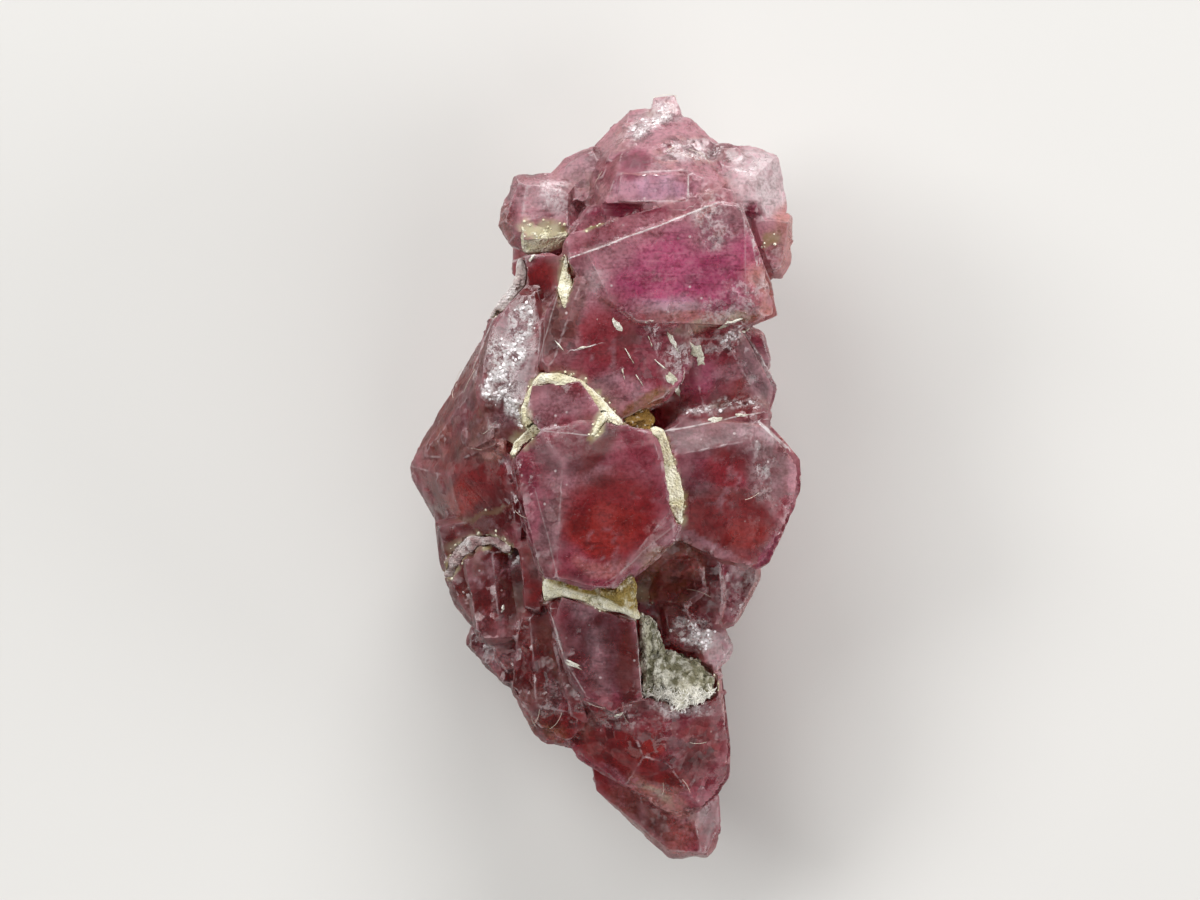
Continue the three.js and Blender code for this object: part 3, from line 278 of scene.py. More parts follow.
    ("haze", (-0.1, -4.2), 0.4, 0.5, 0, 0.6),
    ("lilac", (-0.5, -3.35), 0.35, 0.3, 0, 0.6),
    ("lilac", (-0.15, -4.4), 0.25, 0.7, 12, 0.6),
    ("garnet", (0.62, -4.2), 0.22, 1.2, 0, 0.7),
    ("lilac", (-0.25, -4.75), 0.35, 0.3, 20, 0.5),
    ("haze", (0.0, -5.2), 0.3, 0.6, 0, 0.7),
    ("brown_red", (0.7, -4.9), 0.35, 1.0, 6, 0.85),
    ("dark", (-0.65, -5.6), 0.2, 0.8, 22, 0.7),
    ("brick", (2.0, -2.6), 1.0, 1.1, 0, 0.85),
    ("olive", (1.8, -2.15), 0.8, 0.5, 0, 0.9),
    ("olive", (1.7, -2.4), 0.5, 0.35, 0, 0.9),
    ("olive", (1.15, -2.9), 0.25, 0.4, 0, 0.7),
    # painted light: salmon lifts the shaded crevice above the feldspar
    ("salmon", (1.95, -2.2), 0.6, 0.35, 0, 0.9),
    ("orange", (1.7, -2.65), 0.4, 0.25, 0, 0.7),
    ("garnet", (2.9, -3.0), 0.3, 0.7, 0, 0.7),
    ("milky", (3.65, -2.4), 0.3, 0.25, 0, 0.6),
    ("garnet", (3.97, -2.75), 0.45, 0.4, 0, 1.0),
    ("milky", (3.15, -4.4), 0.35, 0.5, 0, 0.8),
    # the lower body and the tail
    ("deep_red", (0.8, -6.9), 2.1, 1.0, -20, 1.0),
    ("raspberry", (0.6, -6.3), 0.8, 0.3, 0, 0.6),
    ("raspberry", (2.4, -6.7), 0.9, 1.1, 0, 0.9),
    ("deep_red", (2.5, -6.8), 0.6, 0.8, 0, 0.8),
    ("wine", (2.2, -6.3), 0.4, 0.2, 30, 0.5),
    ("garnet", (2.3, -7.4), 0.6, 0.6, 0, 0.6),
    ("fire", (1.3, -7.0), 0.5, 0.25, 30, 0.7),
    ("rose", (0.5, -7.75), 0.6, 0.08, -35, 0.5),
    ("garnet", (0.3, -6.9), 0.5, 0.12, -30, 0.8),
    ("fire", (1.9, -7.9), 0.5, 0.2, -20, 0.6),
    ("salmon", (1.6, -8.3), 0.9, 0.35, -35, 0.85),
    ("cream", (1.5, -8.2), 0.5, 0.12, -35, 0.8),
    ("orange", (0.8, -8.7), 0.5, 0.8, 35, 0.5),
    ("salmon", (1.9, -9.2), 0.5, 0.9, 20, 0.35),
    ("brick", (1.3, -9.0), 0.3, 0.9, 30, 0.7),
]

# What else differs from place to place on the upper side. Each zone is an oval: its middle,
# half width, half length, turn in degrees and strength.
ZONES = {
    # etched faces that glitter, their frosted white partly a painted glint
    "etched": [
        ((-2.1, 4.0), 0.38, 0.6, -20, 1.0),
        ((-2.45, 3.1), 0.5, 0.6, -10, 1.0),
        ((-2.75, 2.4), 0.5, 0.5, 0, 1.0),
        ((-2.15, 1.75), 0.35, 0.55, 20, 1.0),
        ((3.1, 1.8), 1.2, 0.2, 8, 0.8),
        ((3.25, 3.62), 0.6, 0.2, 25, 0.9),
        ((2.2, 3.3), 0.6, 0.6, 0, 0.4),
        # these head zones lie on the highlight spots: their frosted white is partly a painted highlight
        ((1.2, 9.3), 0.9, 0.3, 30, 0.7),
        ((2.4, 8.5), 0.8, 0.3, 10, 0.6),
        ((4.2, 7.8), 0.5, 0.6, 0, 0.5),
        ((-1.1, 7.3), 0.35, 0.5, 30, 0.5),
        ((2.3, -4.0), 0.6, 0.5, 0, 1.0),
        ((2.0, -6.0), 0.9, 0.3, 0, 0.7),
        ((0.4, -6.3), 0.7, 0.3, 0, 0.5),
    ],
    # faces without gloss
    "dull": [
        ((-1.4, -1.0), 0.5, 1.7, -12, 0.9),
        ((-0.95, 4.5), 0.5, 1.3, -15, 1.0),
        ((-1.2, 3.7), 0.4, 0.8, 0, 1.0),
        ((2.9, 1.1), 1.7, 0.6, 0, 0.7),
        ((0.6, 7.9), 1.8, 0.7, 0, 0.6),
        ((-0.4, 0.5), 1.2, 0.8, 0, 0.4),
        ((4.4, 7.2), 0.6, 1.2, 0, 0.6),
        ((2.4, -6.9), 0.6, 1.2, 0, 0.5),
        ((-3.9, 1.4), 1.2, 1.8, -30, 0.6),
    ],
    # shattered places, all small facets
    "broken": [
        ((-3.0, -4.1), 1.0, 1.7, 10, 0.7),
        ((-1.8, -5.4), 1.0, 1.7, 25, 0.9),
        ((2.3, -3.0), 1.3, 1.4, 0, 1.0),
        ((0.6, -6.4), 2.2, 1.1, -10, 0.9),
        ((2.2, -7.2), 0.9, 1.4, 0, 0.9),
        ((1.6, -8.6), 1.0, 1.0, 0, 0.7),
        ((2.3, 8.5), 1.0, 0.5, 10, 0.9),
        ((1.2, 9.3), 1.0, 0.4, 30, 0.7),
        ((-0.4, 7.6), 0.6, 0.6, 0, 0.6),
        ((3.2, 3.5), 1.0, 0.35, 15, 0.9),
        ((1.6, 3.0), 1.2, 1.1, 0, 0.4),
        ((3.2, 1.75), 1.3, 0.25, 8, 1.0),
        ((-3.0, 0.7), 0.7, 0.8, 0, 0.6),
        ((-2.2, -0.8), 0.5, 1.3, -10, 0.8),
        ((3.6, -3.1), 0.6, 0.9, 0, 0.6),
        ((-0.95, 4.2), 0.35, 1.2, -18, 1.0),
        ((-1.35, -1.2), 0.35, 1.5, -12, 0.4),
        ((-3.7, 1.6), 1.0, 1.9, -30, 0.7),
    ],
    # thinly coated with clay
    "clayed": [
        ((-1.5, 6.42), 0.6, 0.24, 6, 0.95),
        ((-3.4, -1.75), 0.6, 0.22, 10, 0.4),
        ((-0.15, 6.40), 0.18, 0.08, 10, 1.0),
        ((-1.95, 1.45), 0.22, 0.45, 20, 0.9),
        ((-2.1, 0.95), 0.25, 0.2, 0, 0.8),
        ((4.45, 6.1), 0.12, 0.25, -20, 0.7),
        ((1.0, -3.0), 0.25, 0.25, 0, 0.6),
        ((-3.0, -1.0), 0.7, 0.08, 12, 0.35),
    ],
    # clouded by healed fractures
    "veiled": [
        ((-0.8, 0.6), 1.2, 0.9, 0, 0.9),
        ((3.1, 0.9), 1.6, 0.7, 0, 1.0),
        ((0.4, 2.5), 1.4, 0.7, 0, 0.8),
        ((-0.3, 5.0), 0.6, 0.7, 0, 1.0),
        ((3.3, 6.4), 0.9, 0.5, 15, 0.7),
        ((-1.5, 7.1), 1.1, 0.9, 0, 1.0),
        ((4.1, 7.7), 0.9, 1.1, 0, 1.0),
        ((1.3, 8.8), 1.4, 0.8, 0, 0.9),
        ((1.4, 4.4), 1.6, 0.4, 8, 0.6),
        ((-0.2, -4.5), 0.7, 1.2, 0, 0.8),
        ((-1.4, -1.5), 0.4, 1.4, -12, 0.8),
        ((2.8, -4.6), 0.6, 0.6, 0, 0.9),
    ],
}

# Thin pale lines along ridges and edges, painted highlights where they catch the light, with some wear: both
# ends, half width and strength.
PAINTED_HIGHLIGHT_LINES = [
    ((-0.80, 5.64), (-0.37, 5.79), 0.014, 1.0),
    ((-0.37, 5.79), (2.87, 7.00), 0.016, 1.0),
    ((3.86, 6.10), (3.95, 5.60), 0.028, 0.8),
    ((3.60, 7.05), (4.55, 4.45), 0.011, 0.35),
    ((-1.43, -3.20), (-1.00, -2.92), 0.019, 0.8),
    ((-1.00, -2.92), (0.90, -3.60), 0.025, 1.0),
    ((0.90, -3.60), (1.06, -5.50), 0.014, 0.8),
    ((-1.27, -3.51), (-0.93, -4.64), 0.014, 0.7),
    ((-0.93, -4.64), (-0.40, -5.52), 0.011, 0.5),
    ((4.10, 1.45), (4.75, 0.85), 0.028, 1.0),
    ((1.60, 1.25), (4.10, 1.72), 0.014, 0.7),
    ((-1.45, 1.25), (-0.20, 1.12), 0.012, 0.4),
    ((-1.66, -0.30), (-1.05, -2.55), 0.012, 0.2),
    ((0.20, -2.55), (1.95, -1.05), 0.014, 0.2),
    ((-2.35, 5.05), (-3.35, 2.90), 0.015, 0.5),
    ((3.60, 3.95), (4.55, 2.55), 0.015, 0.5),
    ((0.47, 7.12), (2.23, 7.12), 0.010, 0.5),
    ((2.23, 7.12), (2.23, 7.78), 0.012, 0.8),
    ((-0.66, 3.32), (-0.15, 3.45), 0.010, 1.0),
    ((-1.10, 4.80), (-1.90, 1.90), 0.011, 0.3),
    ((-2.45, 5.75), (-1.45, 6.10), 0.019, 0.7),
]

# Cream chips caught on the faces: middle, half length, half width and turn.
CHIPS = [
    ((0.42, 3.95), 0.20, 0.07, -55),
    ((1.86, 3.52), 0.30, 0.08, -62),
    ((2.42, 3.28), 0.26, 0.16, -50),
    ((2.55, 3.05), 0.16, 0.12, 20),
    ((1.80, 2.55), 0.24, 0.11, -48),
    ((1.97, 2.30), 0.13, 0.08, -70),
    ((-0.45, 3.38), 0.16, 0.02, 10),
    ((-1.06, 3.42), 0.17, 0.02, -50),
    ((-0.75, -4.72), 0.28, 0.06, -25),
    ((0.45, -6.10), 0.14, 0.06, 30),
    ((3.30, 4.00), 0.30, 0.06, 25),
    ((3.75, 3.85), 0.22, 0.05, 10),
    ((2.95, 1.55), 0.22, 0.06, 12),
    ((3.60, 1.66), 0.18, 0.05, 5),
    ((-2.55, -3.35), 0.12, 0.04, 70),
    ((1.20, 4.02), 0.12, 0.05, 15),
    ((-1.75, 5.75), 0.16, 0.05, 40),
    ((-0.06, 1.32), 0.20, 0.04, 62),
    ((0.74, 3.14), 0.24, 0.014, -60),
    ((0.57, 2.70), 0.20, 0.012, -75),
    ((0.96, 2.58), 0.20, 0.014, -58),
    ((1.53, 2.93), 0.26, 0.016, -42),
    ((1.25, 3.55), 0.16, 0.014, -70),
]

# Small faces that stand a little proud: corners, height in the middle, and slope east and north.
FACETS = [
    # the small crystal in the clay
    (
        [(-1.74, 2.40), (-0.54, 2.51), (0.09, 1.60), (-0.20, 1.14), (-1.52, 1.24), (-1.92, 1.66)],
        8.25, 0.04, -0.06,
    ),
    # the lilac band and the wedge under it, over the box crystal
    ([(0.50, 7.82), (2.23, 7.82), (2.23, 7.12), (0.42, 7.12)], 7.46, 0.0, -0.16),
    ([(-0.05, 7.06), (2.05, 7.08), (1.55, 6.92), (0.15, 6.55)], 7.18, 0.0, -0.05),
    # the left lobe's lower face, over the clay
    ([(-2.0, 6.2), (-1.5, 6.24), (-0.84, 6.38), (-0.84, 6.8), (-2.0, 6.8)], 6.27, 0.0, -0.12),
    # a cleaved flat on the prism below the lower seam
    (
        [(-1.0, -3.0), (0.88, -3.64), (1.05, -5.6), (0.3, -6.0), (-0.4, -5.6), (-0.9, -4.6), (-1.2, -3.6)],
        7.12, 0.04, 0.30,
    ),
]
FACET_ROOT = 0.6  # how far down they are rooted

# What each seam or pocket is filled with, by its name in EARTHS.
FILLS = {
    "clay_upper_seam": "clay",
    "clay_right_seam": "clay",
    "clay_lower_seam": "clay",
    "ochre_plug": "ochre",
    "feldspar_pocket": "feldspar",
    "clay_under_lobe": "clay",
    "clay_neck": "clay",
    "feldspar_edge": "crust",
    "feldspar_rim": "crust",
}


# ------------------------------------------------------------------ numbers that look random
def lattice(corner, seed):
    """A fixed number between -1 and 1 for each corner of a grid."""
    i, j, k = corner.T
    mixed = (i * 73856093) ^ (j * 19349663) ^ (k * 83492791) ^ (seed * 40503)
    mixed = (mixed ^ (mixed >> 13)) * 1274126177
    mixed = (mixed ^ (mixed >> 16)) & 0xFFFFFF
    return mixed / 0x7FFFFF - 1


def smooth_noise(points, size, seed=0):
    """Smooth noise between about -1 and 1, in lumps about as wide as size."""
    scaled = points / size
    base = np.floor(scaled).astype(np.int64)
    part = scaled - base
    part = part * part * (3 - 2 * part)
    total = np.zeros(len(points))
    for step in itertools.product((0, 1), repeat=3):
        weight = np.prod(np.where(step, part, 1 - part), axis=1)
        total += weight * lattice(base + np.array(step), SEED + seed)
    return total


def layered_noise(points, size, octaves, seed=0):
    """Smooth noise with finer and finer noise on it."""
    total = np.zeros(len(points))
    for octave in range(octaves):
        total += smooth_noise(points, size / 2**octave, seed + octave) / 2**octave
    return total


def chips(points, size, seed=0):
    """For each point, a number from -1 to 1 that is the same all over its cell."""
    scaled = points / size
    base = np.floor(scaled).astype(np.int64)
    best = np.full(len(points), np.inf)
    value = np.zeros(len(points))
    for step in itertools.product((-1, 0, 1), repeat=3):
        corner = base + np.array(step)
        jitter = [lattice(corner, SEED + seed + axis) for axis in (11, 12, 13)]
        middle = corner + 0.5 + 0.4 * np.stack(jitter, axis=1)
        gap = np.linalg.norm(scaled - middle, axis=1)
        nearer = gap < best
        best = np.where(nearer, gap, best)
        value = np.where(nearer, lattice(corner, SEED + seed + 14), value)
    return value


def ramp(values, low, high):
    """0 at low, 1 at high, a smooth slope between, and flat beyond. Low may be the larger."""
    share = np.clip((values - low) / (high - low), 0, 1)
    return share * share * (3 - 2 * share)


# ------------------------------------------------------------------ mesh helpers
def cad_copy(node):
    """A CAD node's shape in millimetres, its loose triangles joined up."""
    shape = bmesh.new()
    shape.from_mesh(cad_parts[node].data)
    bmesh.ops.scale(shape, vec=(1 / MM,) * 3, verts=shape.verts)
    bmesh.ops.remove_doubles(shape, verts=shape.verts, dist=0.002)
    shape.normal_update()
    return shape


def make_object(name, data):
    made = bpy.data.objects.new(name, data)
    bpy.context.scene.collection.objects.link(made)
    return made


def mesh_of(shape, name):
    mesh = bpy.data.meshes.new(name)
    shape.to_mesh(mesh)
    return mesh


def settled(obj):
    """The object's mesh with its modifiers worked in. The object itself goes."""
    bpy.context.view_layer.update()
    graph = bpy.context.evaluated_depsgraph_get()
    mesh = bpy.data.meshes.new_from_object(obj.evaluated_get(graph))
    bpy.data.objects.remove(obj)
    return mesh


def reskinned(mesh, size):
    """The outer skin of a mesh, remade of small even faces."""
    rough = make_object("rough", mesh)
    skin = rough.modifiers.new("skin", "REMESH")
    skin.mode = "VOXEL"
    skin.voxel_size = size
    skin.adaptivity = 0
    return settled(rough)


def points_of(mesh):
    values = np.empty(len(mesh.vertices) * 3, np.float32)
    mesh.vertices.foreach_get("co", values)
    return values.reshape(-1, 3).astype(float)


def normals_of(mesh):
    values = np.empty(len(mesh.vertices) * 3, np.float32)
    mesh.vertex_normals.foreach_get("vector", values)
    return values.reshape(-1, 3).astype(float)


def set_points(mesh, points):
    mesh.vertices.foreach_set("co", points.astype(np.float32).ravel())
    mesh.update()


def set_values(mesh, name, values):
    """Keeps one number or one vector for each vertex, for the materials to read."""
    kind, key = ("FLOAT", "value") if values.ndim == 1 else ("FLOAT_VECTOR", "vector")
    attribute = mesh.attributes.new(name, kind, "POINT")
    attribute.data.foreach_set(key, values.astype(np.float32).ravel())


def set_colours(mesh, name, colours):
    attribute = mesh.color_attributes.new(name, "FLOAT_COLOR", "POINT")
    full = np.concatenate([colours, np.ones((len(colours), 1))], axis=1)
    attribute.data.foreach_set("color", full.astype(np.float32).ravel())


def boxed(points):
    """Points brought back inside the CAD's box with a little room, and above the floor."""
    low, high = (np.array(corner) for corner in cad_box)
    return np.clip(points, low - np.array([ROOM, ROOM, 0]), high + ROOM)


def finish_mesh(mesh, name):
    """Brings a mesh from millimetres to metres and shades it, edges crisp."""
    mesh.name = name
    mesh.materials.clear()
    set_points(mesh, boxed(points_of(mesh) * MM))
    mesh.polygons.foreach_set("use_smooth", [True] * len(mesh.polygons))
    mesh.set_sharp_from_angle(angle=SHADE_ANGLE)
    mesh.update()


# ------------------------------------------------------------------ node helpers
def put(tree, kind, inputs=None, **settings):
    """Adds a node with its settings, and fills in or plugs in its inputs."""
    made = tree.nodes.new(kind)
    for key, value in settings.items():
        setattr(made, key, value)
    for key, value in (inputs or {}).items():
        if isinstance(value, bpy.types.NodeSocket):
            tree.links.new(value, made.inputs[key])
        else:
            made.inputs[key].default_value = value
    return made


def linear(code):
    """A colour written as six hexadecimal digits, as linear red, green and blue."""
    shares = [int(code[i : i + 2], 16) / 255 for i in (0, 2, 4)]
    return tuple(s / 12.92 if s <= 0.04045 else ((s + 0.055) / 1.055) ** 2.4 for s in shares)


def tint(code):
    """The same, with full cover."""
    return (*linear(code), 1)


def mixed(tree, share, a, b):
    """A colour between a and b."""
    return put(tree, "ShaderNodeMix", {0: share, 6: a, 7: b}, data_type="RGBA").outputs[2]


def between(tree, value, low, high, at_low, at_high):
    """at_low where the value is low, at_high where it is high, and a slope between."""
    return put(
        tree, "ShaderNodeMapRange",
        {"Value": value, "From Min": low, "From Max": high, "To Min": at_low, "To Max": at_high},
    ).outputs[0]


def maths(tree, operation, a, b=0.0):
    return put(tree, "ShaderNodeMath", {0: a, 1: b}, operation=operation).outputs[0]


def times(tree, product, *others):
    for other in others:
        product = maths(tree, "MULTIPLY", product, other)
    return product


def vectors(tree, operation, a, b):
    return put(tree, "ShaderNodeVectorMath", {0: a, 1: b}, operation=operation).outputs


def scaled(tree, vector, by):
    return put(tree, "ShaderNodeVectorMath", {0: vector, "Scale": by}, operation="SCALE").outputs[0]


def xyz(tree, x, y, z):
    return put(tree, "ShaderNodeCombineXYZ", {"X": x, "Y": y, "Z": z}).outputs[0]


def random_number(tree, low, high, seed):
    inputs = {2: low, 3: high, "Seed": seed}
    return put(tree, "FunctionNodeRandomValue", inputs, data_type="FLOAT").outputs[1]


def turned(tree, rotation, by):
    """A rotation turned further, by three angles of its own frame."""
    inputs = {"Rotation": rotation, "Rotate By": by}
    return put(tree, "FunctionNodeRotateRotation", inputs, rotation_space="LOCAL").outputs[0]


def turned_at_random(tree, rotation, least, most):
    by = put(tree, "FunctionNodeRandomValue", {0: least, 1: most}, data_type="FLOAT_VECTOR").outputs[0]
    return turned(tree, rotation, by)


def compared(tree, a, operation, b):
    inputs = {"A": a, "B": b}
    return put(tree, "FunctionNodeCompare", inputs, data_type="FLOAT", operation=operation).outputs[0]


def distance_to(tree, geometry, element):
    return put(tree, "GeometryNodeProximity", {0: geometry}, target_element=element).outputs["Distance"]


def kept_value(tree, name):
    """A number that the surface keeps for each of its vertices."""
    return put(tree, "GeometryNodeInputNamedAttribute", {"Name": name}, data_type="FLOAT").outputs[0]


def spread(tree, given, density):
    """Random points on the given surface, so many to a square of its own units."""
    return put(
        tree, "GeometryNodeDistributePointsOnFaces",
        {"Mesh": given["Surface"], "Density": density, "Seed": given["Seed"]}, distribute_method="RANDOM",
    ).outputs


def moved(tree, points, offset):
    return put(tree, "GeometryNodeSetPosition", {"Geometry": points, "Offset": offset}).outputs[0]


def copies(tree, points, shape, rotation, scale):
    """A copy of a shape on each point."""
    return put(
        tree, "GeometryNodeInstanceOnPoints",
        {"Points": points, "Instance": shape, "Rotation": rotation, "Scale": scale},
    ).outputs[0]


def realized(tree, geometry):
    return put(tree, "GeometryNodeRealizeInstances", {"Geometry": geometry}).outputs[0]


def new_growth(name, *labels):
    """A Geometry Nodes tree that takes a surface, the numbers with these labels, and a seed."""
    tree = bpy.data.node_groups.new(name, "GeometryNodeTree")
    sockets = tree.interface
    sockets.new_socket("Geometry", in_out="OUTPUT", socket_type="NodeSocketGeometry")
    sockets.new_socket("Surface", in_out="INPUT", socket_type="NodeSocketGeometry")
    for label in labels:
        sockets.new_socket(label, in_out="INPUT", socket_type="NodeSocketFloat")
    sockets.new_socket("Seed", in_out="INPUT", socket_type="NodeSocketInt")
    return tree, tree.nodes.new("NodeGroupInput").outputs


def end_growth(tree, geometry, material=None):
    """Ends a tree: its instances become real mesh, with a material if one is given."""
    real = realized(tree, geometry)
    if material:
        real = put(tree, "GeometryNodeSetMaterial", {"Geometry": real, "Material": material}).outputs[0]
    put(tree, "NodeGroupOutput", {"Geometry": real})
    return tree


def grown(surface, tree, values):
    """What a tree makes on a surface mesh, as a plain mesh."""
    carrier = make_object("carrier", surface)
    growth = carrier.modifiers.new("growth", "NODES")
    growth.node_group = tree
    for item in tree.interface.items_tree:
        if item.in_out == "INPUT" and item.name in values:
            growth[item.identifier] = values[item.name]
    return settled(carrier)


def six_sided(tree, top):
    """A six-sided plate, a unit across its foot and a unit thick."""
    inputs = {"Vertices": 6, "Radius Top": top, "Radius Bottom": 0.5, "Depth": 1.0}
    return put(tree, "GeometryNodeMeshCone", inputs, fill_type="TRIANGLE_FAN").outputs["Mesh"]


# ------------------------------------------------------------------ growth plates
def plate_tree():
    """Thin six-sided plates lying on the faces of a surface, none of them over an edge."""
    tree, given = new_growth("growth_plates", "Plates per mm2", "Smallest", "Largest", "Thickness", "Root")
    normal = put(tree, "GeometryNodeInputNormal").outputs[0]
    up = put(tree, "ShaderNodeSeparateXYZ", {0: normal}).outputs[2]
    spared = between(tree, up, 0.1, 0.75, 1.0, 0.0)
    spots = spread(tree, given, times(tree, given["Plates per mm2"], spared))
    angle = put(tree, "GeometryNodeInputMeshEdgeAngle").outputs["Unsigned Angle"]
    sharp = compared(tree, angle, "GREATER_THAN", CREASE_ANGLE)
    only_sharp = {"Geometry": given["Surface"], "Selection": sharp}
    edges = put(tree, "GeometryNodeSeparateGeometry", only_sharp, domain="EDGE").outputs[0]
    free = distance_to(tree, edges, "EDGES")
    plate = six_sided(tree, 0.46)
    hung = put(tree, "GeometryNodeTransform", {"Geometry": plate, "Translation": (0, 0, -1)}).outputs[0]
    thickness = times(tree, given["Thickness"], random_number(tree, 0.5, 2.0, 5))
    points = moved(tree, spots["Points"], scaled(tree, spots["Normal"], thickness))
    widest = random_number(tree, given["Smallest"], given["Largest"], 3)
    width = maths(tree, "MINIMUM", widest, times(tree, free, 1.5))
    length = times(tree, width, random_number(tree, 0.7, 1.2, 4))
    placed = copies(tree, points, hung, spots["Rotation"], xyz(tree, width, length, given["Root"]))
    both = put(tree, "GeometryNodeJoinGeometry")
    tree.links.new(given["Surface"], both.inputs[0])
    tree.links.new(placed, both.inputs[0])
    return end_growth(tree, both.outputs[0])


# ------------------------------------------------------------------ the crystals
class Faces:
    """The flat faces of the crystals: which triangle is in which, and how each lies."""

    def __init__(self, shape):
        shape.faces.ensure_lookup_table()
        self.tree = BVHTree.FromBMesh(shape)
        self.of_triangle = np.full(len(shape.faces), -1)
        self.normals, self.along = [], []
        for first in shape.faces:
            if self.of_triangle[first.index] < 0:
                self.collect(first)
        self.normals = np.array(self.normals)
        self.along = np.array(self.along)

    def collect(self, first):
        """Walks over one flat face and keeps its normal and the way of its longest edge."""
        number = len(self.normals)
        waiting = [first]
        self.of_triangle[first.index] = number
        longest = None
        while waiting:
            triangle = waiting.pop()
            for edge in triangle.edges:
                if longest is None or edge.calc_length() > longest.calc_length():
                    longest = edge
                for other in edge.link_faces:
                    if self.of_triangle[other.index] >= 0:
                        continue
                    if other.normal.angle(first.normal, 9) < FACE_ANGLE:
                        self.of_triangle[other.index] = number
                        waiting.append(other)
        way = longest.verts[1].co - longest.verts[0].co
        way = (way - first.normal * way.dot(first.normal)).normalized()
        self.normals.append(first.normal[:])
        self.along.append(way[:])


def search_tree(points):
    tree = KDTree(len(points))
    for i, point in enumerate(points):
        tree.insert(point, i)
    tree.balance()
    return tree


def edge_points(shape):
    """Points along the outward and the inward edges of a shape, as two search trees."""
    outward, inward = [], []
    for edge in shape.edges:
        if len(edge.link_faces) != 2:
            continue
        turn = edge.calc_face_angle_signed(0)
        if abs(turn) < CREASE_ANGLE:
            continue
        start, end = (v.co for v in edge.verts)
        count = max(1, math.ceil((end - start).length / EDGE_STEP))
        target = outward if turn > 0 else inward
        target.extend(start.lerp(end, (i + 0.5) / count) for i in range(count))
    return search_tree(outward), search_tree(inward)


def oval(points, middle, half_width, half_length, turn):
    """How far points are from the middle of an oval seen from above: 1 is on its edge."""
    angle = math.radians(turn)
    x = points[:, 0] - middle[0]
    y = points[:, 1] - middle[1]
    u = x * math.cos(angle) + y * math.sin(angle)
    v = y * math.cos(angle) - x * math.sin(angle)
    return np.hypot(u / half_width, v / half_length)


def shifted(points, reach, seed):
    """Points moved about a little, so that what is drawn with them has ragged borders."""
    moved = [layered_noise(points, 0.7, 3, seed + 20 * axis) for axis in range(3)]
    return points + reach * np.stack(moved, axis=1)


def paint(points, steep):
    """The crystals' colour at each point, with painted highlights, glow and shade in it. Steep is 1 on the
    steep outer slopes.
    """
    mixes = {name: np.array(linear(code)) for name, code in PIGMENTS.items()}

    def laid(name, share):
        return colour + (mixes[name] - colour) * share

    drift = layered_noise(points, 2.6, 4, 60)[:, None]
    cloud = layered_noise(points, 0.8, 4, 70)[:, None]
    colour = mixes["raspberry"]
    colour = laid("deep_red", ramp(drift, -0.3, 0.4))
    colour = laid("haze", ramp(cloud, 0.1, 0.9) * 0.7)
    colour = laid("hot_pink", ramp(-drift, 0.2, 0.8) * 0.2)
    # painted glow: the steep outer slopes are made paler, salmon towards the east, as if lit through from the
    # side
    thin = steep * ramp(layered_noise(points, 1.1, 3, 64), -0.7, 0.1)
    ragged = shifted(points, 0.16, 80)
    upper = ramp(points[:, 2], FRONT, FRONT + 1)
    for name, middle, half_width, half_length, turn, strength in PATCHES:
        inside = ramp(oval(ragged, middle, half_width, half_length, turn), 1.25, 0.7)
        colour = laid(name, (inside * upper * strength)[:, None])
    painted_glow = mixes["brick"] + (mixes["salmon"] - mixes["brick"]) * ramp(points[:, :1], -0.5, 1.5)
    colour = colour + (painted_glow - colour) * (0.6 * thin)[:, None]
    where = ramp(layered_noise(points, 1.5, 2, 98)[:, None], -0.1, 0.6)
    threads = np.abs(layered_noise(shifted(points, 0.25, 90), 0.8, 3, 95))[:, None]
    colour = laid("lilac", ramp(threads, 0.12, 0.0) * where * 0.7)
    blots = layered_noise(points, 0.6, 4, 99)[:, None]
    colour = colour * (1 - 0.45 * ramp(blots, 0.2, 1.0)) * (1 + 0.25 * ramp(-blots, 0.2, 1.0))
    return colour


def zone(points, name, everywhere=0.0):
    """How strongly each point is in a zone, from 0 to 1, and here and there outside it."""
    ragged = shifted(points, 0.2, 120)
    total = ramp(layered_noise(points, 1.4, 3, 130 + 7 * len(name)), 0.5, 1.1) * everywhere
    upper = ramp(points[:, 2], FRONT, FRONT + 1)
    for middle, half_width, half_length, turn, strength in ZONES[name]:
        inside = ramp(oval(ragged, middle, half_width, half_length, turn), 1.2, 0.6)
        total = np.maximum(total, inside * strength * upper)
    return total


def painted_highlight_lines(points):
    """The nearest painted highlight line at each point: its strength, and the way across it in half widths.

    The way across is negative on one side, so that it passes through nothing on the line itself.
    """
    wobbly = shifted(points, 0.02, 160)[:, :2]
    strengths = np.zeros(len(points))
    across = np.full(len(points), 9.0)
    nearest = np.full(len(points), np.inf)
    for start, end, half_width, strength in PAINTED_HIGHLIGHT_LINES:
        start, way = np.array(start), np.array(end) - np.array(start)
        share = np.clip((wobbly - start) @ way / (way @ way), 0, 1)
        off = wobbly - start - share[:, None] * way
        gap = np.linalg.norm(off, axis=1)
        side = np.sign(off[:, 0] * way[1] - off[:, 1] * way[0])
        nearer = gap < nearest
        nearest = np.where(nearer, gap, nearest)
        across = np.where(nearer, np.clip(side * gap / half_width, -9, 9), across)
        strengths = np.where(nearer, strength * ramp(gap, 0.25, 0.15), strengths)
    return strengths * ramp(points[:, 2], FRONT, FRONT + 1), across


def fill_points():
    """A search tree of points all over what fills the seams."""
    found = []
    for node in FILLS:
        shape = cad_copy(node)
        bmesh.ops.triangulate(shape, faces=shape.faces)
        bmesh.ops.subdivide_edges(shape, edges=shape.edges, cuts=2)
        found.extend(v.co.copy() for v in shape.verts)
    return search_tree(found)


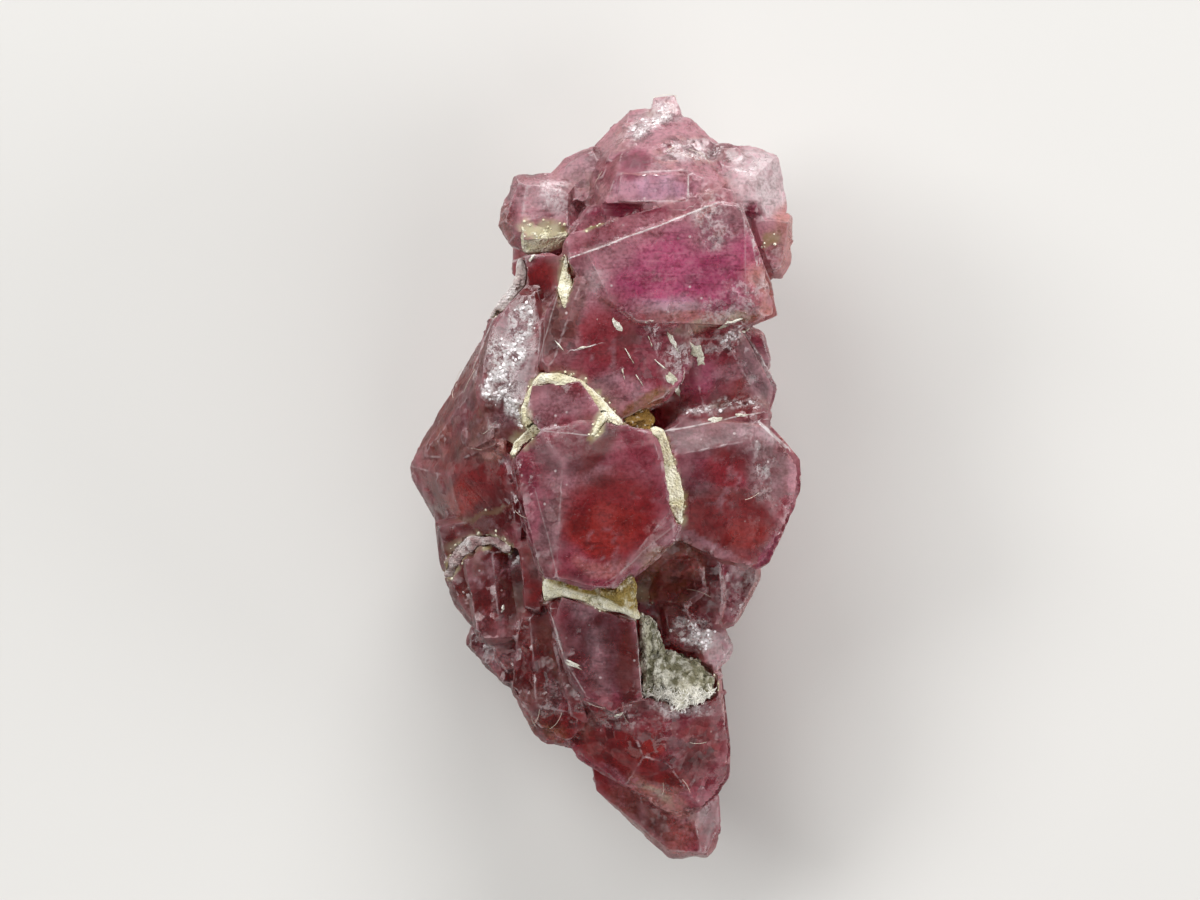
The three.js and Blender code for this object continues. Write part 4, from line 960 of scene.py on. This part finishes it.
def add_facet(shape, corners, height, east, north):
    """A low prism with a flat sloping top, rooted in the crystals."""
    middle = np.mean(corners, axis=0)
    top, bottom = [], []
    for x, y in corners:
        z = height + east * (x - middle[0]) + north * (y - middle[1])
        top.append(shape.verts.new((x, y, z)))
        bottom.append(shape.verts.new((x, y, z - FACET_ROOT)))
    made = [shape.faces.new(top), shape.faces.new(bottom)]
    for k in range(len(top)):
        after = (k + 1) % len(top)
        made.append(shape.faces.new((bottom[k], bottom[after], top[after], top[k])))
    bmesh.ops.recalc_face_normals(shape, faces=made)


def crystals_with_facets():
    solid = cad_copy("crystal_cluster")
    for facet in FACETS:
        add_facet(solid, *facet)
    return solid


def make_crystals():
    bare = mesh_of(crystals_with_facets(), "bare")
    covered = grown(
        bare, plate_tree(),
        {
            "Plates per mm2": 1.3, "Smallest": 0.25, "Largest": 1.1, "Thickness": 0.03,
            "Root": 0.3, "Seed": SEED,
        },
    )
    shape = bmesh.new()
    shape.from_mesh(covered)
    bmesh.ops.triangulate(shape, faces=shape.faces)
    shape.normal_update()
    faces = Faces(shape)
    outward, inward = edge_points(shape)
    mesh = reskinned(covered, SKIN)
    points = points_of(mesh)
    number = np.zeros(len(points), int)
    rim = np.zeros(len(points))
    crease = np.zeros(len(points))
    fill_gap = np.zeros(len(points))
    fills = fill_points()
    for i, point in enumerate(points):
        place, _, triangle, _ = faces.tree.find_nearest(point)
        number[i] = faces.of_triangle[triangle]
        edge_out, _, rim[i] = outward.find(place)
        edge_in, _, crease[i] = inward.find(place)
        if rim[i] < CREASE_SHARE * SKIN:
            place = edge_out
        elif crease[i] < CREASE_SHARE * SKIN:
            place = edge_in
        points[i] = place
        fill_gap[i] = fills.find(place)[2]
    set_points(mesh, points)
    normal = faces.normals[number]
    along = faces.along[number]
    across = np.cross(normal, along)
    u = np.sum(points * along, axis=1)
    v = np.sum(points * across, axis=1)
    worn = np.exp(-rim / EDGE_WEAR)
    sunk = np.exp(-crease / CREASE_REACH)
    etched = zone(points, "etched", 0.5)
    shattered = zone(points, "broken", 0.8)
    shattered = np.maximum(shattered, ramp(points[:, 2], 4.0, 2.5) * 0.5)
    striated = 1 - 0.85 * ramp(np.abs(normal[:, 2]), 0.6, 0.92)
    # growth steps along each face's own edges, low swellings, etching, and broken edges
    flat = np.stack([u / 1.9, v, number * 7.3], axis=1)
    steps = (chips(flat, 0.36, 3) * 0.010 + chips(flat, 0.8, 5) * 0.014) * (0.2 + 0.8 * striated)
    swell = smooth_noise(points, 1.6, 21) * 0.012
    rough = etched * (chips(points, 0.22, 31) * 0.02 + layered_noise(points, 0.3, 2, 33) * 0.024)
    rough = rough + shattered * (chips(points, 0.45, 35) * 0.035 + chips(points, 0.2, 37) * 0.018)
    broken = np.maximum(layered_noise(points, 0.5, 2, 9) - 0.2, 0) * np.exp(-rim / EDGE_BREAKS) * 0.09
    lift = (steps + swell) * (1 - worn) * (1 - 0.6 * sunk) + rough - broken
    points = points + normals_of(mesh) * lift[:, None]
    set_points(mesh, points)
    seen = points[:, :2] / HALF
    far = np.linalg.norm(seen, axis=1)
    outwards = np.sum(normal[:, :2] * seen, axis=1) / np.maximum(far, 0.01)
    steep = ramp(np.abs(normal[:, 2]), 0.6, 0.25) * ramp(outwards, 0.0, 0.4) * ramp(far, 0.35, 0.7)
    set_colours(mesh, "pigment", paint(points, steep))
    clumps = ramp(layered_noise(points, 0.45, 3, 180), -0.3, 0.15)
    ragged = fill_gap + layered_noise(points, 0.3, 3, 140) * 0.09
    # the painted highlight lines along the ridges
    strengths, sideways = painted_highlight_lines(points)
    kept = {
        "rim_gap": np.minimum(rim, 0.6),
        "crease": sunk,
        "etched": etched,
        "glitter": ramp(etched, 0.5, 0.95) * clumps,
        "smear": np.maximum(ramp(ragged, 0.15, 0.05), zone(points, "clayed")),
        "striated": striated,
        "broken": shattered,
        "dull": zone(points, "dull", 0.3),
        "veiled": zone(points, "veiled", 0.4),
        "line": strengths,
        "line_side": sideways,
        "grain": np.stack([u, v, number * 3.7], axis=1),
    }
    for name, values in kept.items():
        set_values(mesh, name, values)
    finish_mesh(mesh, "crystals")
    return make_object("crystals", mesh)


# ------------------------------------------------------------------ clay and feldspar
def make_fill(node, brinks):
    """Clay or feldspar pressed out against the crystals beside it, and worn down to their edges.

    Brinks is a search tree of points along those edges.
    """
    shape = cad_copy(node)
    mesh = reskinned(mesh_of(shape, node + "_rough"), FILL_SKIN)
    points = points_of(mesh)
    normals = normals_of(mesh)
    sideways = 1 - np.abs(normals[:, 2]) ** 2
    if node == "feldspar_pocket":
        # broken grains and splinters, dark in the hollows between them
        splinters = chips(points * np.array([1.0, 0.45, 0.7]), 0.15, 43)
        hollows = layered_noise(points, 0.3, 3, 44)
        narrow = 0.05 * ramp(points[:, 0], 2.1, 2.9) * ramp(np.abs(normals[:, 2]), 0.9, 0.4)
        lift = 0.04 * sideways + splinters * 0.05 + hollows * 0.06 - 0.04 - narrow
        points = points + normals * lift[:, None]
    else:
        crumbly = chips(points, 0.16, 41) * 0.007 + layered_noise(points, 0.2, 3, 42) * 0.012
        lumps = smooth_noise(points, 0.5, 45) * 0.02
        swell = np.full(len(points), FILL_SWELL)
        if node == "ochre_plug":
            # rough, and down in its gap
            swell += 0.04 + 0.07 * chips(points, 0.22, 51)
            points[:, 2] -= 0.1
        if node == "clay_under_lobe":
            swell = LOBE_SWELL * (0.4 + 0.6 * ramp(normals[:, 1], -0.8, 0.2))
        uneven = swell + 0.05 * layered_noise(points, 0.45, 2, 46)
        points = points + normals * (uneven * sideways + crumbly + lumps)[:, None]
        if node == "feldspar_rim":
            points[:, 2] -= 0.24 + 0.16 * layered_noise(points, 0.3, 2, 47)
        if node == "feldspar_edge":
            points = points - normals * 0.03
        if node == "clay_under_lobe":
            # it lies flush with the lobe
            fading = ramp(points[:, 1] + 0.12 * layered_noise(points, 0.25, 2, 49), 6.3, 6.6)
            ragged = points[:, 1] + 0.07 * layered_noise(points, 0.2, 3, 52)
            thinning = 0.2 * fading + 0.3 * ramp(-ragged, -6.1, -5.85)
            top = 6.32 - thinning + 0.02 * smooth_noise(points, 0.2, 48)
            points[:, 2] = np.minimum(points[:, 2], top)
        if node == "clay_upper_seam":
            points[:, 2] += CLAY_RISE * ramp(normals[:, 2], 0.0, 0.6)
        if node == "clay_neck":
            # a spindle: pointed at its upper end, widest in its lower half
            width = np.interp(points[:, 1], (4.4, 4.9, 5.7), (0.45, 1.1, 0.25))
            points[:, 0] = NECK_MIDDLE + (points[:, 0] - NECK_MIDDLE) * width
        for i, point in enumerate(points):
            brink, _, gap = brinks.find(point)
            highest = brink.z - 0.015 + 0.5 * max(0, gap - 0.2) + crumbly[i]
            point[2] = min(point[2], highest)
    mottle = layered_noise(points, 0.5, 3, 170)
    stain = ramp(mottle, -0.1, 0.9) * 0.5
    if node == "feldspar_pocket":
        stain = 0.45 + ramp(0.5 * mottle - hollows - 0.5 * splinters + 0.5 * (points[:, 1] + 5.1), -0.2, 0.7)
        gold = 1.3 * ramp(oval(points, (2.6, -5.1), 0.45, 0.35, 0), 1.2, 0.5)
        stain = np.maximum(stain, gold) * ramp(points[:, 1] + 0.1 * mottle, -5.7, -5.45)
        fluffy = ramp(points[:, 1] + 0.1 * mottle, -5.4, -5.6) * ramp(normals[:, 2], -0.2, 0.5)
        set_values(mesh, "fluffy", fluffy)
    if node == "feldspar_rim":
        stain = 0.7 + 0.6 * ramp(mottle, -0.4, 0.4)
    if node == "clay_under_lobe":
        stain = 0.15 * ramp(mottle, -0.1, 0.9)
    if node == "clay_lower_seam":
        # white along the prism below, ochre above
        stain = 1.4 * ramp(points[:, 1] + 3.26 + 0.36 * points[:, 0] + 0.08 * mottle, 0.1, 0.26)
    set_values(mesh, "stain", stain)
    set_points(mesh, points)
    finish_mesh(mesh, node + "_crumbly")
    return make_object(node + "_crumbly", mesh)


def make_chips(ground):
    """Small jagged chips laid on the faces. Ground is a tree of the crystals' skin, in metres."""
    shape = bmesh.new()
    for number, ((x, y), half_length, half_width, turn) in enumerate(CHIPS):
        angle = math.radians(turn)
        corners = []
        for k in range(CHIP_CORNERS):
            way = k * math.tau / CHIP_CORNERS
            ragged = 0.9 + 0.45 * lattice(np.array([[number, k, 5]]), SEED)[0]
            u = half_length * math.cos(way) * ragged
            v = half_width * math.sin(way) * ragged
            east = x + u * math.cos(angle) - v * math.sin(angle)
            north = y + u * math.sin(angle) + v * math.cos(angle)
            corners.append((east, north))
        top, bottom = [], []
        for k, (px, py) in enumerate([*corners, (x, y)]):
            hit = ground.ray_cast(Vector((px, py, 20)) * MM, Vector((0, 0, -1)))[0]
            peak = 0.04 + 0.03 * lattice(np.array([[number, k, 9]]), SEED)[0]
            lift = 0.012 if k < CHIP_CORNERS else peak
            top.append(shape.verts.new(hit / MM + Vector((0, 0, lift))))
            bottom.append(shape.verts.new(hit / MM - Vector((0, 0, 0.06))))
        for k in range(CHIP_CORNERS):
            after = (k + 1) % CHIP_CORNERS
            shape.faces.new((top[k], top[after], top[-1]))
            shape.faces.new((bottom[after], bottom[k], bottom[-1]))
            shape.faces.new((bottom[k], bottom[after], top[after], top[k]))
    bmesh.ops.subdivide_edges(shape, edges=shape.edges, cuts=2, use_grid_fill=True)
    mesh = mesh_of(shape, "cream_chips")
    points = points_of(mesh)
    set_points(mesh, points + normals_of(mesh) * (layered_noise(points, 0.09, 2, 150) * 0.014)[:, None])
    finish_mesh(mesh, "cream_chips")
    return make_object("cream_chips", mesh)


# ------------------------------------------------------------------ things on and in the crystals
def scatter_tree(name, material, make_seed, where):
    """Small pieces scattered on a surface, most where the value called where is high."""
    tree, given = new_growth(name, "Pieces per mm2", "More per mm2", "Smallest", "Largest", "Flatness")
    more = times(tree, kept_value(tree, where), given["More per mm2"])
    per_mm2 = maths(tree, "ADD", more, given["Pieces per mm2"])
    spots = spread(tree, given, times(tree, per_mm2, 1 / MM**2))
    width = times(tree, random_number(tree, given["Smallest"], given["Largest"], 8), MM)
    size = xyz(tree, width, width, times(tree, width, given["Flatness"]))
    rotation = turned_at_random(tree, spots["Rotation"], (-0.4, -0.4, -3.1), (0.4, 0.4, 3.1))
    return end_growth(tree, copies(tree, spots["Points"], make_seed(tree), rotation, size), material)


def flake(tree):
    return six_sided(tree, 0.4)


def grain_of_dust(tree):
    """A round grain, a unit across."""
    return put(tree, "GeometryNodeMeshIcoSphere", {"Radius": 0.5, "Subdivisions": 1}).outputs["Mesh"]


def veil_tree(name, material, sheet_type, sheet_values):
    """Healed fractures: thin sheets inside the crystals, none of them reaching the surface."""
    tree, given = new_growth(
        name, "Veils per mm2", "Clouded veils per mm2", "Shallowest", "Deepest", "Smallest",
        "Largest", "Reach", "Narrowest", "Widest", "Tilt", "Nearest",
    )
    more = times(tree, kept_value(tree, "veiled"), given["Clouded veils per mm2"])
    per_mm2 = maths(tree, "ADD", more, given["Veils per mm2"])
    spots = spread(tree, given, times(tree, per_mm2, 1 / MM**2))
    depth = times(tree, random_number(tree, given["Shallowest"], given["Deepest"], 2), -MM)
    sunk = moved(tree, spots["Points"], scaled(tree, spots["Normal"], depth))
    near = distance_to(tree, given["Surface"], "FACES")
    shallow = compared(tree, near, "LESS_THAN", times(tree, given["Nearest"], MM))
    kept = put(
        tree, "GeometryNodeDeleteGeometry", {"Geometry": sunk, "Selection": shallow}, domain="POINT"
    ).outputs[0]
    longest = times(tree, random_number(tree, given["Smallest"], given["Largest"], 5), MM)
    length = maths(tree, "MINIMUM", longest, times(tree, near, given["Reach"]))
    width = times(tree, length, random_number(tree, given["Narrowest"], given["Widest"], 6))
    thickness = maths(tree, "MINIMUM", times(tree, near, 0.7), VEIL_THICKNESS)
    tilt = given["Tilt"]
    back = times(tree, tilt, -1.0)
    rotation = turned_at_random(
        tree, spots["Rotation"], xyz(tree, back, back, -3.1), xyz(tree, tilt, tilt, 3.1)
    )
    sheet = put(tree, sheet_type, sheet_values).outputs["Mesh"]
    size = xyz(tree, length, width, thickness)
    return end_growth(tree, copies(tree, kept, sheet, rotation, size), material)


def hair_tree(name, material, where):
    """Fine fibres, each a bent tube, most where the value called where is high."""
    tree, given = new_growth(name, "Hairs per mm2", "Radius", "Shortest", "Longest", "Lean")
    per_mm2 = times(tree, kept_value(tree, where), given["Hairs per mm2"])
    spots = spread(tree, given, times(tree, per_mm2, 1 / MM**2))
    bow = put(
        tree, "GeometryNodeCurveQuadraticBezier",
        {"Resolution": 7, "Start": (-0.5, 0, -0.02), "Middle": (0.05, 0.14, 0.12), "End": (0.5, -0.05, 0.05)},
    ).outputs[0]
    length = times(tree, random_number(tree, given["Shortest"], given["Longest"], 7), MM)
    lean = random_number(tree, times(tree, given["Lean"], -1), given["Lean"], 9)
    spin = random_number(tree, -3.1, 3.1, 10)
    rotation = turned(tree, spots["Rotation"], xyz(tree, 0.0, lean, spin))
    hairs = realized(tree, copies(tree, spots["Points"], bow, rotation, xyz(tree, length, length, length)))
    round_it = {"Resolution": 4, "Radius": given["Radius"]}
    ring = put(tree, "GeometryNodeCurvePrimitiveCircle", round_it).outputs[0]
    along = {"Curve": hairs, "Profile Curve": ring, "Fill Caps": True}
    tubes = put(tree, "GeometryNodeCurveToMesh", along).outputs[0]
    return end_growth(tree, tubes, material)


# ------------------------------------------------------------------ materials
def new_material(name):
    """A material, its tree, and the node output that tells where on the piece a point is."""
    material = bpy.data.materials.new(name)
    material.use_nodes = True
    tree = material.node_tree
    tree.nodes.clear()
    return material, tree, put(tree, "ShaderNodeTexCoord").outputs["Object"]


def end_material(tree, values, **others):
    shader = put(tree, "ShaderNodeBsdfPrincipled", values)
    put(tree, "ShaderNodeOutputMaterial", {"Surface": shader.outputs["BSDF"], **others})


def noise(tree, place, scale, detail, output="Fac"):
    inputs = {"Vector": place, "Scale": scale, "Detail": detail}
    return put(tree, "ShaderNodeTexNoise", inputs).outputs[output]


def stretched(tree, place, **values):
    return put(tree, "ShaderNodeMapping", {"Vector": place, **values}).outputs[0]


def first_of(tree, vector):
    return put(tree, "ShaderNodeSeparateXYZ", {0: vector}).outputs[0]


def crystal_material():
    material, tree, place = new_material("raspberry_crystal")

    def read(name, output="Fac"):
        return put(tree, "ShaderNodeAttribute", attribute_name=name).outputs[output]

    def span(value, low, high, at_low, at_high):
        return between(tree, value, low, high, at_low, at_high)

    def product(*values):
        return times(tree, *values)

    def total(a, b):
        return maths(tree, "ADD", a, b)

    def layer(share, code):
        """Lays a colour over what is there already."""
        return mixed(tree, share, colour, tint(code))

    pigment = read("pigment", "Color")
    # pale clouding shows in the hazy places, and hardly at all in the clear deep red ones
    green = put(tree, "ShaderNodeSeparateColor", {0: pigment}).outputs[1]
    hazy = span(green, 0.014, 0.18, 0.04, 1.0)
    cloud = noise(tree, place, 1500.0, 3.0)
    fine_cloud = noise(tree, place, 5200.0, 3.0)
    grain = noise(tree, place, 13000.0, 2.0)
    colour = pigment
    colour = layer(product(span(cloud, 0.52, 0.75, 0.0, 0.5), hazy), "b8788c")
    colour = layer(span(cloud, 0.48, 0.28, 0.0, 0.5), "6a1218")
    colour = layer(product(span(fine_cloud, 0.52, 0.72, 0.0, 0.5), hazy), "cc8498")
    colour = layer(span(fine_cloud, 0.48, 0.28, 0.0, 0.45), "54121a")
    # splinters: each is a small flat face that leans its own way
    bent = scaled(tree, noise(tree, place, 5000.0, 1.0, "Color"), 0.12 * MM)
    crooked = vectors(tree, "ADD", place, bent)[0]
    splinters = put(tree, "ShaderNodeTexVoronoi", {"Vector": crooked, "Scale": 4200.0}).outputs
    tone = first_of(tree, splinters["Color"])
    out = vectors(tree, "SUBTRACT", crooked, splinters["Position"])[0]
    way = vectors(tree, "SUBTRACT", splinters["Color"], (0.5, 0.5, 0.5))[0]
    lean = product(vectors(tree, "DOT_PRODUCT", out, way)["Value"], 1 / BUMP)
    shattered = total(read("broken"), 0.08)
    colour = layer(product(span(tone, 0.6, 0.95, 0.0, 0.6), shattered, hazy), "c8948c")
    colour = layer(product(span(tone, 0.4, 0.05, 0.0, 0.7), shattered), "4a1014")
    # thin streaks that lie two ways
    for turn, seed in ((35, 1), (-50, 2)):
        fibres = stretched(
            tree, place, Rotation=(0.3 * seed, 0.2, math.radians(turn)), Scale=(900.0, 9000.0, 2500.0)
        )
        thread = noise(tree, fibres, 1.0, 1.0)
        colour = layer(product(span(thread, 0.68, 0.78, 0.0, 0.4), hazy), "dca8b4")
        colour = layer(span(thread, 0.34, 0.26, 0.0, 0.35), "481018")
    specks = put(tree, "ShaderNodeTexVoronoi", {"Vector": place, "Scale": 3500.0}).outputs
    rare = span(first_of(tree, specks["Color"]), 0.86, 0.9, 0.0, 1.0)
    colour = layer(product(span(specks["Distance"], 0.16, 0.08, 0.0, 0.85), rare), "f0e0e0")
    colour = layer(product(span(grain, 0.5, 0.7, 0.0, 0.35), hazy), "e0a8b6")
    colour = layer(span(grain, 0.5, 0.3, 0.0, 0.4), "3c0c10")
    # edges: a soft pale border, partly wear and partly a painted glow of light through the thin edge, and
    # here and there a thin bright line, a painted highlight
    rim_gap = read("rim_gap")
    colour = layer(product(span(rim_gap, 0.0, 0.2, 1.0, 0.0), span(cloud, 0.42, 0.65, 0.0, 0.35)), "dc9ca8")
    colour = layer(product(span(rim_gap, 0.01, 0.05, 1.0, 0.0), span(cloud, 0.56, 0.44, 0.0, 0.6)), "f0dce0")
    # the painted highlight lines: bright strokes along the ridges
    line = product(read("line"), span(maths(tree, "ABSOLUTE", read("line_side")), 0.9, 1.9, 1.0, 0.0))
    colour = layer(product(line, span(fine_cloud, 0.36, 0.5, 0.3, 1.0)), "f8eeee")
    # etched faces are frosted white, partly a painted glint, inward edges hold soil, and clay is smeared
    # beside the seams
    etched = read("etched")
    colour = layer(product(etched, 0.2), "b8a4a8")
    frost_and_glint = product(etched, span(fine_cloud, 0.46, 0.54, 0.0, 0.9), span(grain, 0.42, 0.52, 0.2, 1.0))
    frost_and_glint = maths(tree, "MAXIMUM", frost_and_glint, product(read("glitter"), span(grain, 0.38, 0.5, 0.3, 1.0)))
    colour = layer(frost_and_glint, "f6f2f2")
    colour = layer(product(read("crease"), span(cloud, 0.5, 0.7, 0.0, 0.5)), "8a6a40")
    smear = read("smear")
    clay = mixed(tree, span(cloud, 0.42, 0.6, 0.0, 1.0), tint("a08c58"), tint("d8d0b0"))
    colour = mixed(tree, smear, colour, clay)
    striae = noise(tree, stretched(tree, read("grain", "Vector"), Scale=(0.5, 7.0, 1.0)), 1.6, 2.0)
    height = total(product(striae, read("striated")), product(grain, total(product(etched, 3.5), 0.3)))
    height = total(height, product(lean, product(shattered, 2.2)))
    bump = put(tree, "ShaderNodeBump", {"Height": height, "Strength": 0.35, "Distance": BUMP}).outputs[0]
    rough = span(cloud, 0.35, 0.65, 0.18, 0.4)
    for value, share in ((read("dull"), 0.3), (etched, -0.14), (frost_and_glint, 0.3), (smear, 0.6)):
        rough = total(rough, product(value, share))
    soak = put(tree, "ShaderNodeVolumeAbsorption", {"Color": (0.95, 0.1, 0.14, 1), "Density": 200.0})
    looks = {
        "Base Color": colour,
        "Roughness": rough,
        "Normal": bump,
        "IOR": 1.6,
        "Specular IOR Level": 0.32,
        "Transmission Weight": 0.5,
    }
    end_material(tree, looks, Volume=soak.outputs["Volume"])
    return material


def earthy_material(name, pale, dark, speck, stained):
    material, tree, place = new_material(name)
    colour = mixed(
        tree, between(tree, noise(tree, place, 2200.0, 6.0), 0.4, 0.6, 0.0, 1.0), tint(dark), tint(pale)
    )
    fine = noise(tree, place, 14000.0, 6.0)
    colour = mixed(tree, between(tree, fine, 0.58, 0.72, 0.0, 0.7), colour, tint(speck))
    bright = between(tree, noise(tree, place, 9000.0, 3.0), 0.6, 0.7, 0.0, 0.6)
    colour = mixed(tree, bright, colour, tint("f4f0e4"))
    stain = put(tree, "ShaderNodeAttribute", attribute_name="stain").outputs["Fac"]
    blotched = between(tree, noise(tree, place, 5000.0, 4.0), 0.36, 0.6, 0.25, 0.95)
    colour = mixed(tree, times(tree, stain, blotched), colour, tint(stained))
    grit = put(tree, "ShaderNodeTexVoronoi", {"Vector": place, "Scale": 16000.0}).outputs["Distance"]
    height = maths(tree, "ADD", fine, times(tree, grit, 0.8))
    bump = put(tree, "ShaderNodeBump", {"Height": height, "Strength": 0.9, "Distance": EARTH_BUMP}).outputs[0]
    rough = between(tree, fine, 0.35, 0.65, 0.65, 0.95)
    end_material(tree, {"Base Color": colour, "Roughness": rough, "Normal": bump})
    return material


def plain_material(name, code, roughness, cover=1.0):
    material, tree, place = new_material(name)
    grey = noise(tree, place, 5000.0, 4.0)
    dimmed = (*(0.75 * c for c in linear(code)), 1)
    looks = {
        "Base Color": mixed(tree, between(tree, grey, 0.35, 0.65, 0.0, 1.0), dimmed, tint(code)),
        "Roughness": between(tree, grey, 0.35, 0.65, 0.85 * roughness, 1.1 * roughness),
    }
    if cover < 1:
        looks["Alpha"] = between(tree, grey, 0.42, 0.7, 0.0, cover)
    end_material(tree, looks)
    return material


# ------------------------------------------------------------------ stage
def make_stage():
    bpy.ops.mesh.primitive_plane_add(size=1.2, location=(0, 0, 0))
    floor = bpy.context.object
    floor.name = "floor"
    material, tree, _ = new_material("pale_floor")
    end_material(tree, {"Base Color": (0.62, 0.61, 0.59, 1), "Roughness": 0.85})
    floor.data.materials.append(material)
    for name, (place, size, power) in LIGHTS.items():
        light = bpy.data.lights.new(name, "AREA")
        light.shape = "DISK"
        light.size = size
        light.energy = power
        lamp = make_object(name, light)
        lamp.location = place
        lamp.rotation_euler = (Vector(AIM) - Vector(place)).to_track_quat("-Z", "Y").to_euler()
    world = bpy.data.worlds.new("studio")
    world.use_nodes = True
    world.node_tree.nodes["Background"].inputs["Color"].default_value = (1.0, 0.98, 0.96, 1)
    world.node_tree.nodes["Background"].inputs["Strength"].default_value = 0.15
    bpy.context.scene.world = world


def make_camera():
    camera = bpy.data.cameras.new("camera")
    camera.lens = LENS
    camera.sensor_width = SENSOR
    camera.clip_start = 0.001
    made = make_object("camera", camera)
    made.location = CAMERA
    bpy.context.scene.camera = made


def show(piece, slot, *nodes):
    """Puts a piece on the part's one body, in place of some CAD nodes. The slot is not used."""
    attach(piece, "root")
    if nodes:
        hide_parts(*nodes)


def sprinkle(name, slot, surface, tree, values):
    """Grows small things on a surface and shows them as one piece."""
    mesh = grown(surface.data.copy(), tree, values)
    mesh.name = name
    set_points(mesh, boxed(points_of(mesh)))
    show(make_object(name, mesh), slot)


make_camera()
bpy.context.scene.view_settings.view_transform = "Standard"
crystals = make_crystals()
crystals.data.materials.append(crystal_material())
show(crystals, "crystal", "crystal_cluster")

sprinkle(
    "etched_flakes", "crystal", crystals,
    scatter_tree("flakes", plain_material("bright_flake", "f4eef0", 0.12), flake, "glitter"),
    {
        "Pieces per mm2": 0.0, "More per mm2": 110.0, "Smallest": 0.03, "Largest": 0.12,
        "Flatness": 0.12, "Seed": 4,
    },
)
sprinkle(
    "dust_specks", "clay", crystals,
    scatter_tree("dust", plain_material("white_dust", "ece6da", 0.8), grain_of_dust, "etched"),
    {
        "Pieces per mm2": 0.12, "More per mm2": 0.5, "Smallest": 0.008, "Largest": 0.026,
        "Flatness": 0.7, "Seed": 9,
    },
)
# deep sheets that lean every way, and shallow lenses where the crystals are clouded
sprinkle(
    "inner_veils", "crystal", crystals,
    veil_tree(
        "inner_veils", plain_material("healed_fracture", "f0d6de", 0.3, 0.55),
        "GeometryNodeMeshGrid", {"Size X": 1.4, "Size Y": 1.4, "Vertices X": 6, "Vertices Y": 6},
    ),
    {
        "Veils per mm2": 0.5, "Clouded veils per mm2": 0.0, "Shallowest": 0.25, "Deepest": 1.2,
        "Smallest": 0.3, "Largest": 0.8, "Reach": 0.85, "Narrowest": 1.0, "Widest": 1.0,
        "Tilt": 1.2, "Nearest": 0.18, "Seed": 5,
    },
)
sprinkle(
    "shallow_veils", "crystal", crystals,
    veil_tree(
        "shallow_veils", plain_material("clouded_fracture", "e8c8d0", 0.5),
        "GeometryNodeMeshIcoSphere", {"Radius": 0.5, "Subdivisions": 2},
    ),
    {
        "Veils per mm2": 0.05, "Clouded veils per mm2": 2.0, "Shallowest": 0.1, "Deepest": 0.45,
        "Smallest": 0.08, "Largest": 0.45, "Reach": 9.0, "Narrowest": 0.12, "Widest": 0.5,
        "Tilt": 0.0, "Nearest": 0.06, "Seed": 5,
    },
)
sprinkle(
    "fine_hairs", "clay", crystals,
    hair_tree("fine_hairs", plain_material("pale_fibre", "e6dccc", 0.5), "broken"),
    {"Hairs per mm2": 0.4, "Radius": 0.005 * MM, "Shortest": 0.3, "Longest": 0.7, "Lean": 0.2, "Seed": 21},
)

EARTHS = {
    "clay": earthy_material("cream_clay", "e6e3d0", "cdc6a6", "a4986c", "8e783a"),
    "ochre": earthy_material("ochre_clay", "98742e", "6e5020", "46341a", "5c4420"),
    "feldspar": earthy_material("white_feldspar", "e2dfd4", "b4b09c", "605c4a", "6c6850"),
    "crust": earthy_material("pale_crust", "dedad8", "b8aaa6", "94807e", "8a6c6c"),
}
brinks = edge_points(crystals_with_facets())[0]
for node, kind in FILLS.items():
    fill = make_fill(node, brinks)
    fill.data.materials.append(EARTHS[kind])
    show(fill, "feldspar" if kind == "crust" else kind, node)
    if node == "feldspar_pocket":
        sprinkle(
            "feldspar_fluff", "feldspar", fill,
            hair_tree("fluff", plain_material("white_fibre", "f2efe6", 0.7), "fluffy"),
            {
                "Hairs per mm2": 500.0, "Radius": 0.008 * MM, "Shortest": 0.14, "Longest": 0.42,
                "Lean": 0.8, "Seed": 3,
            },
        )
        sprinkle(
            "feldspar_scales", "feldspar", fill,
            scatter_tree("scales", EARTHS["feldspar"], flake, "fluffy"),
            {
                "Pieces per mm2": 40.0, "More per mm2": 60.0, "Smallest": 0.04, "Largest": 0.15,
                "Flatness": 0.25, "Seed": 6,
            },
        )

sprinkle(
    "clay_crumbs", "clay", crystals, scatter_tree("crumbs", EARTHS["clay"], grain_of_dust, "smear"),
    {
        "Pieces per mm2": 0.0, "More per mm2": 45.0, "Smallest": 0.025, "Largest": 0.1,
        "Flatness": 0.6, "Seed": 12,
    },
)
cream_chips = make_chips(BVHTree.FromObject(crystals, bpy.context.evaluated_depsgraph_get()))
cream_chips.data.materials.append(EARTHS["feldspar"])
show(cream_chips, "feldspar")

make_stage()
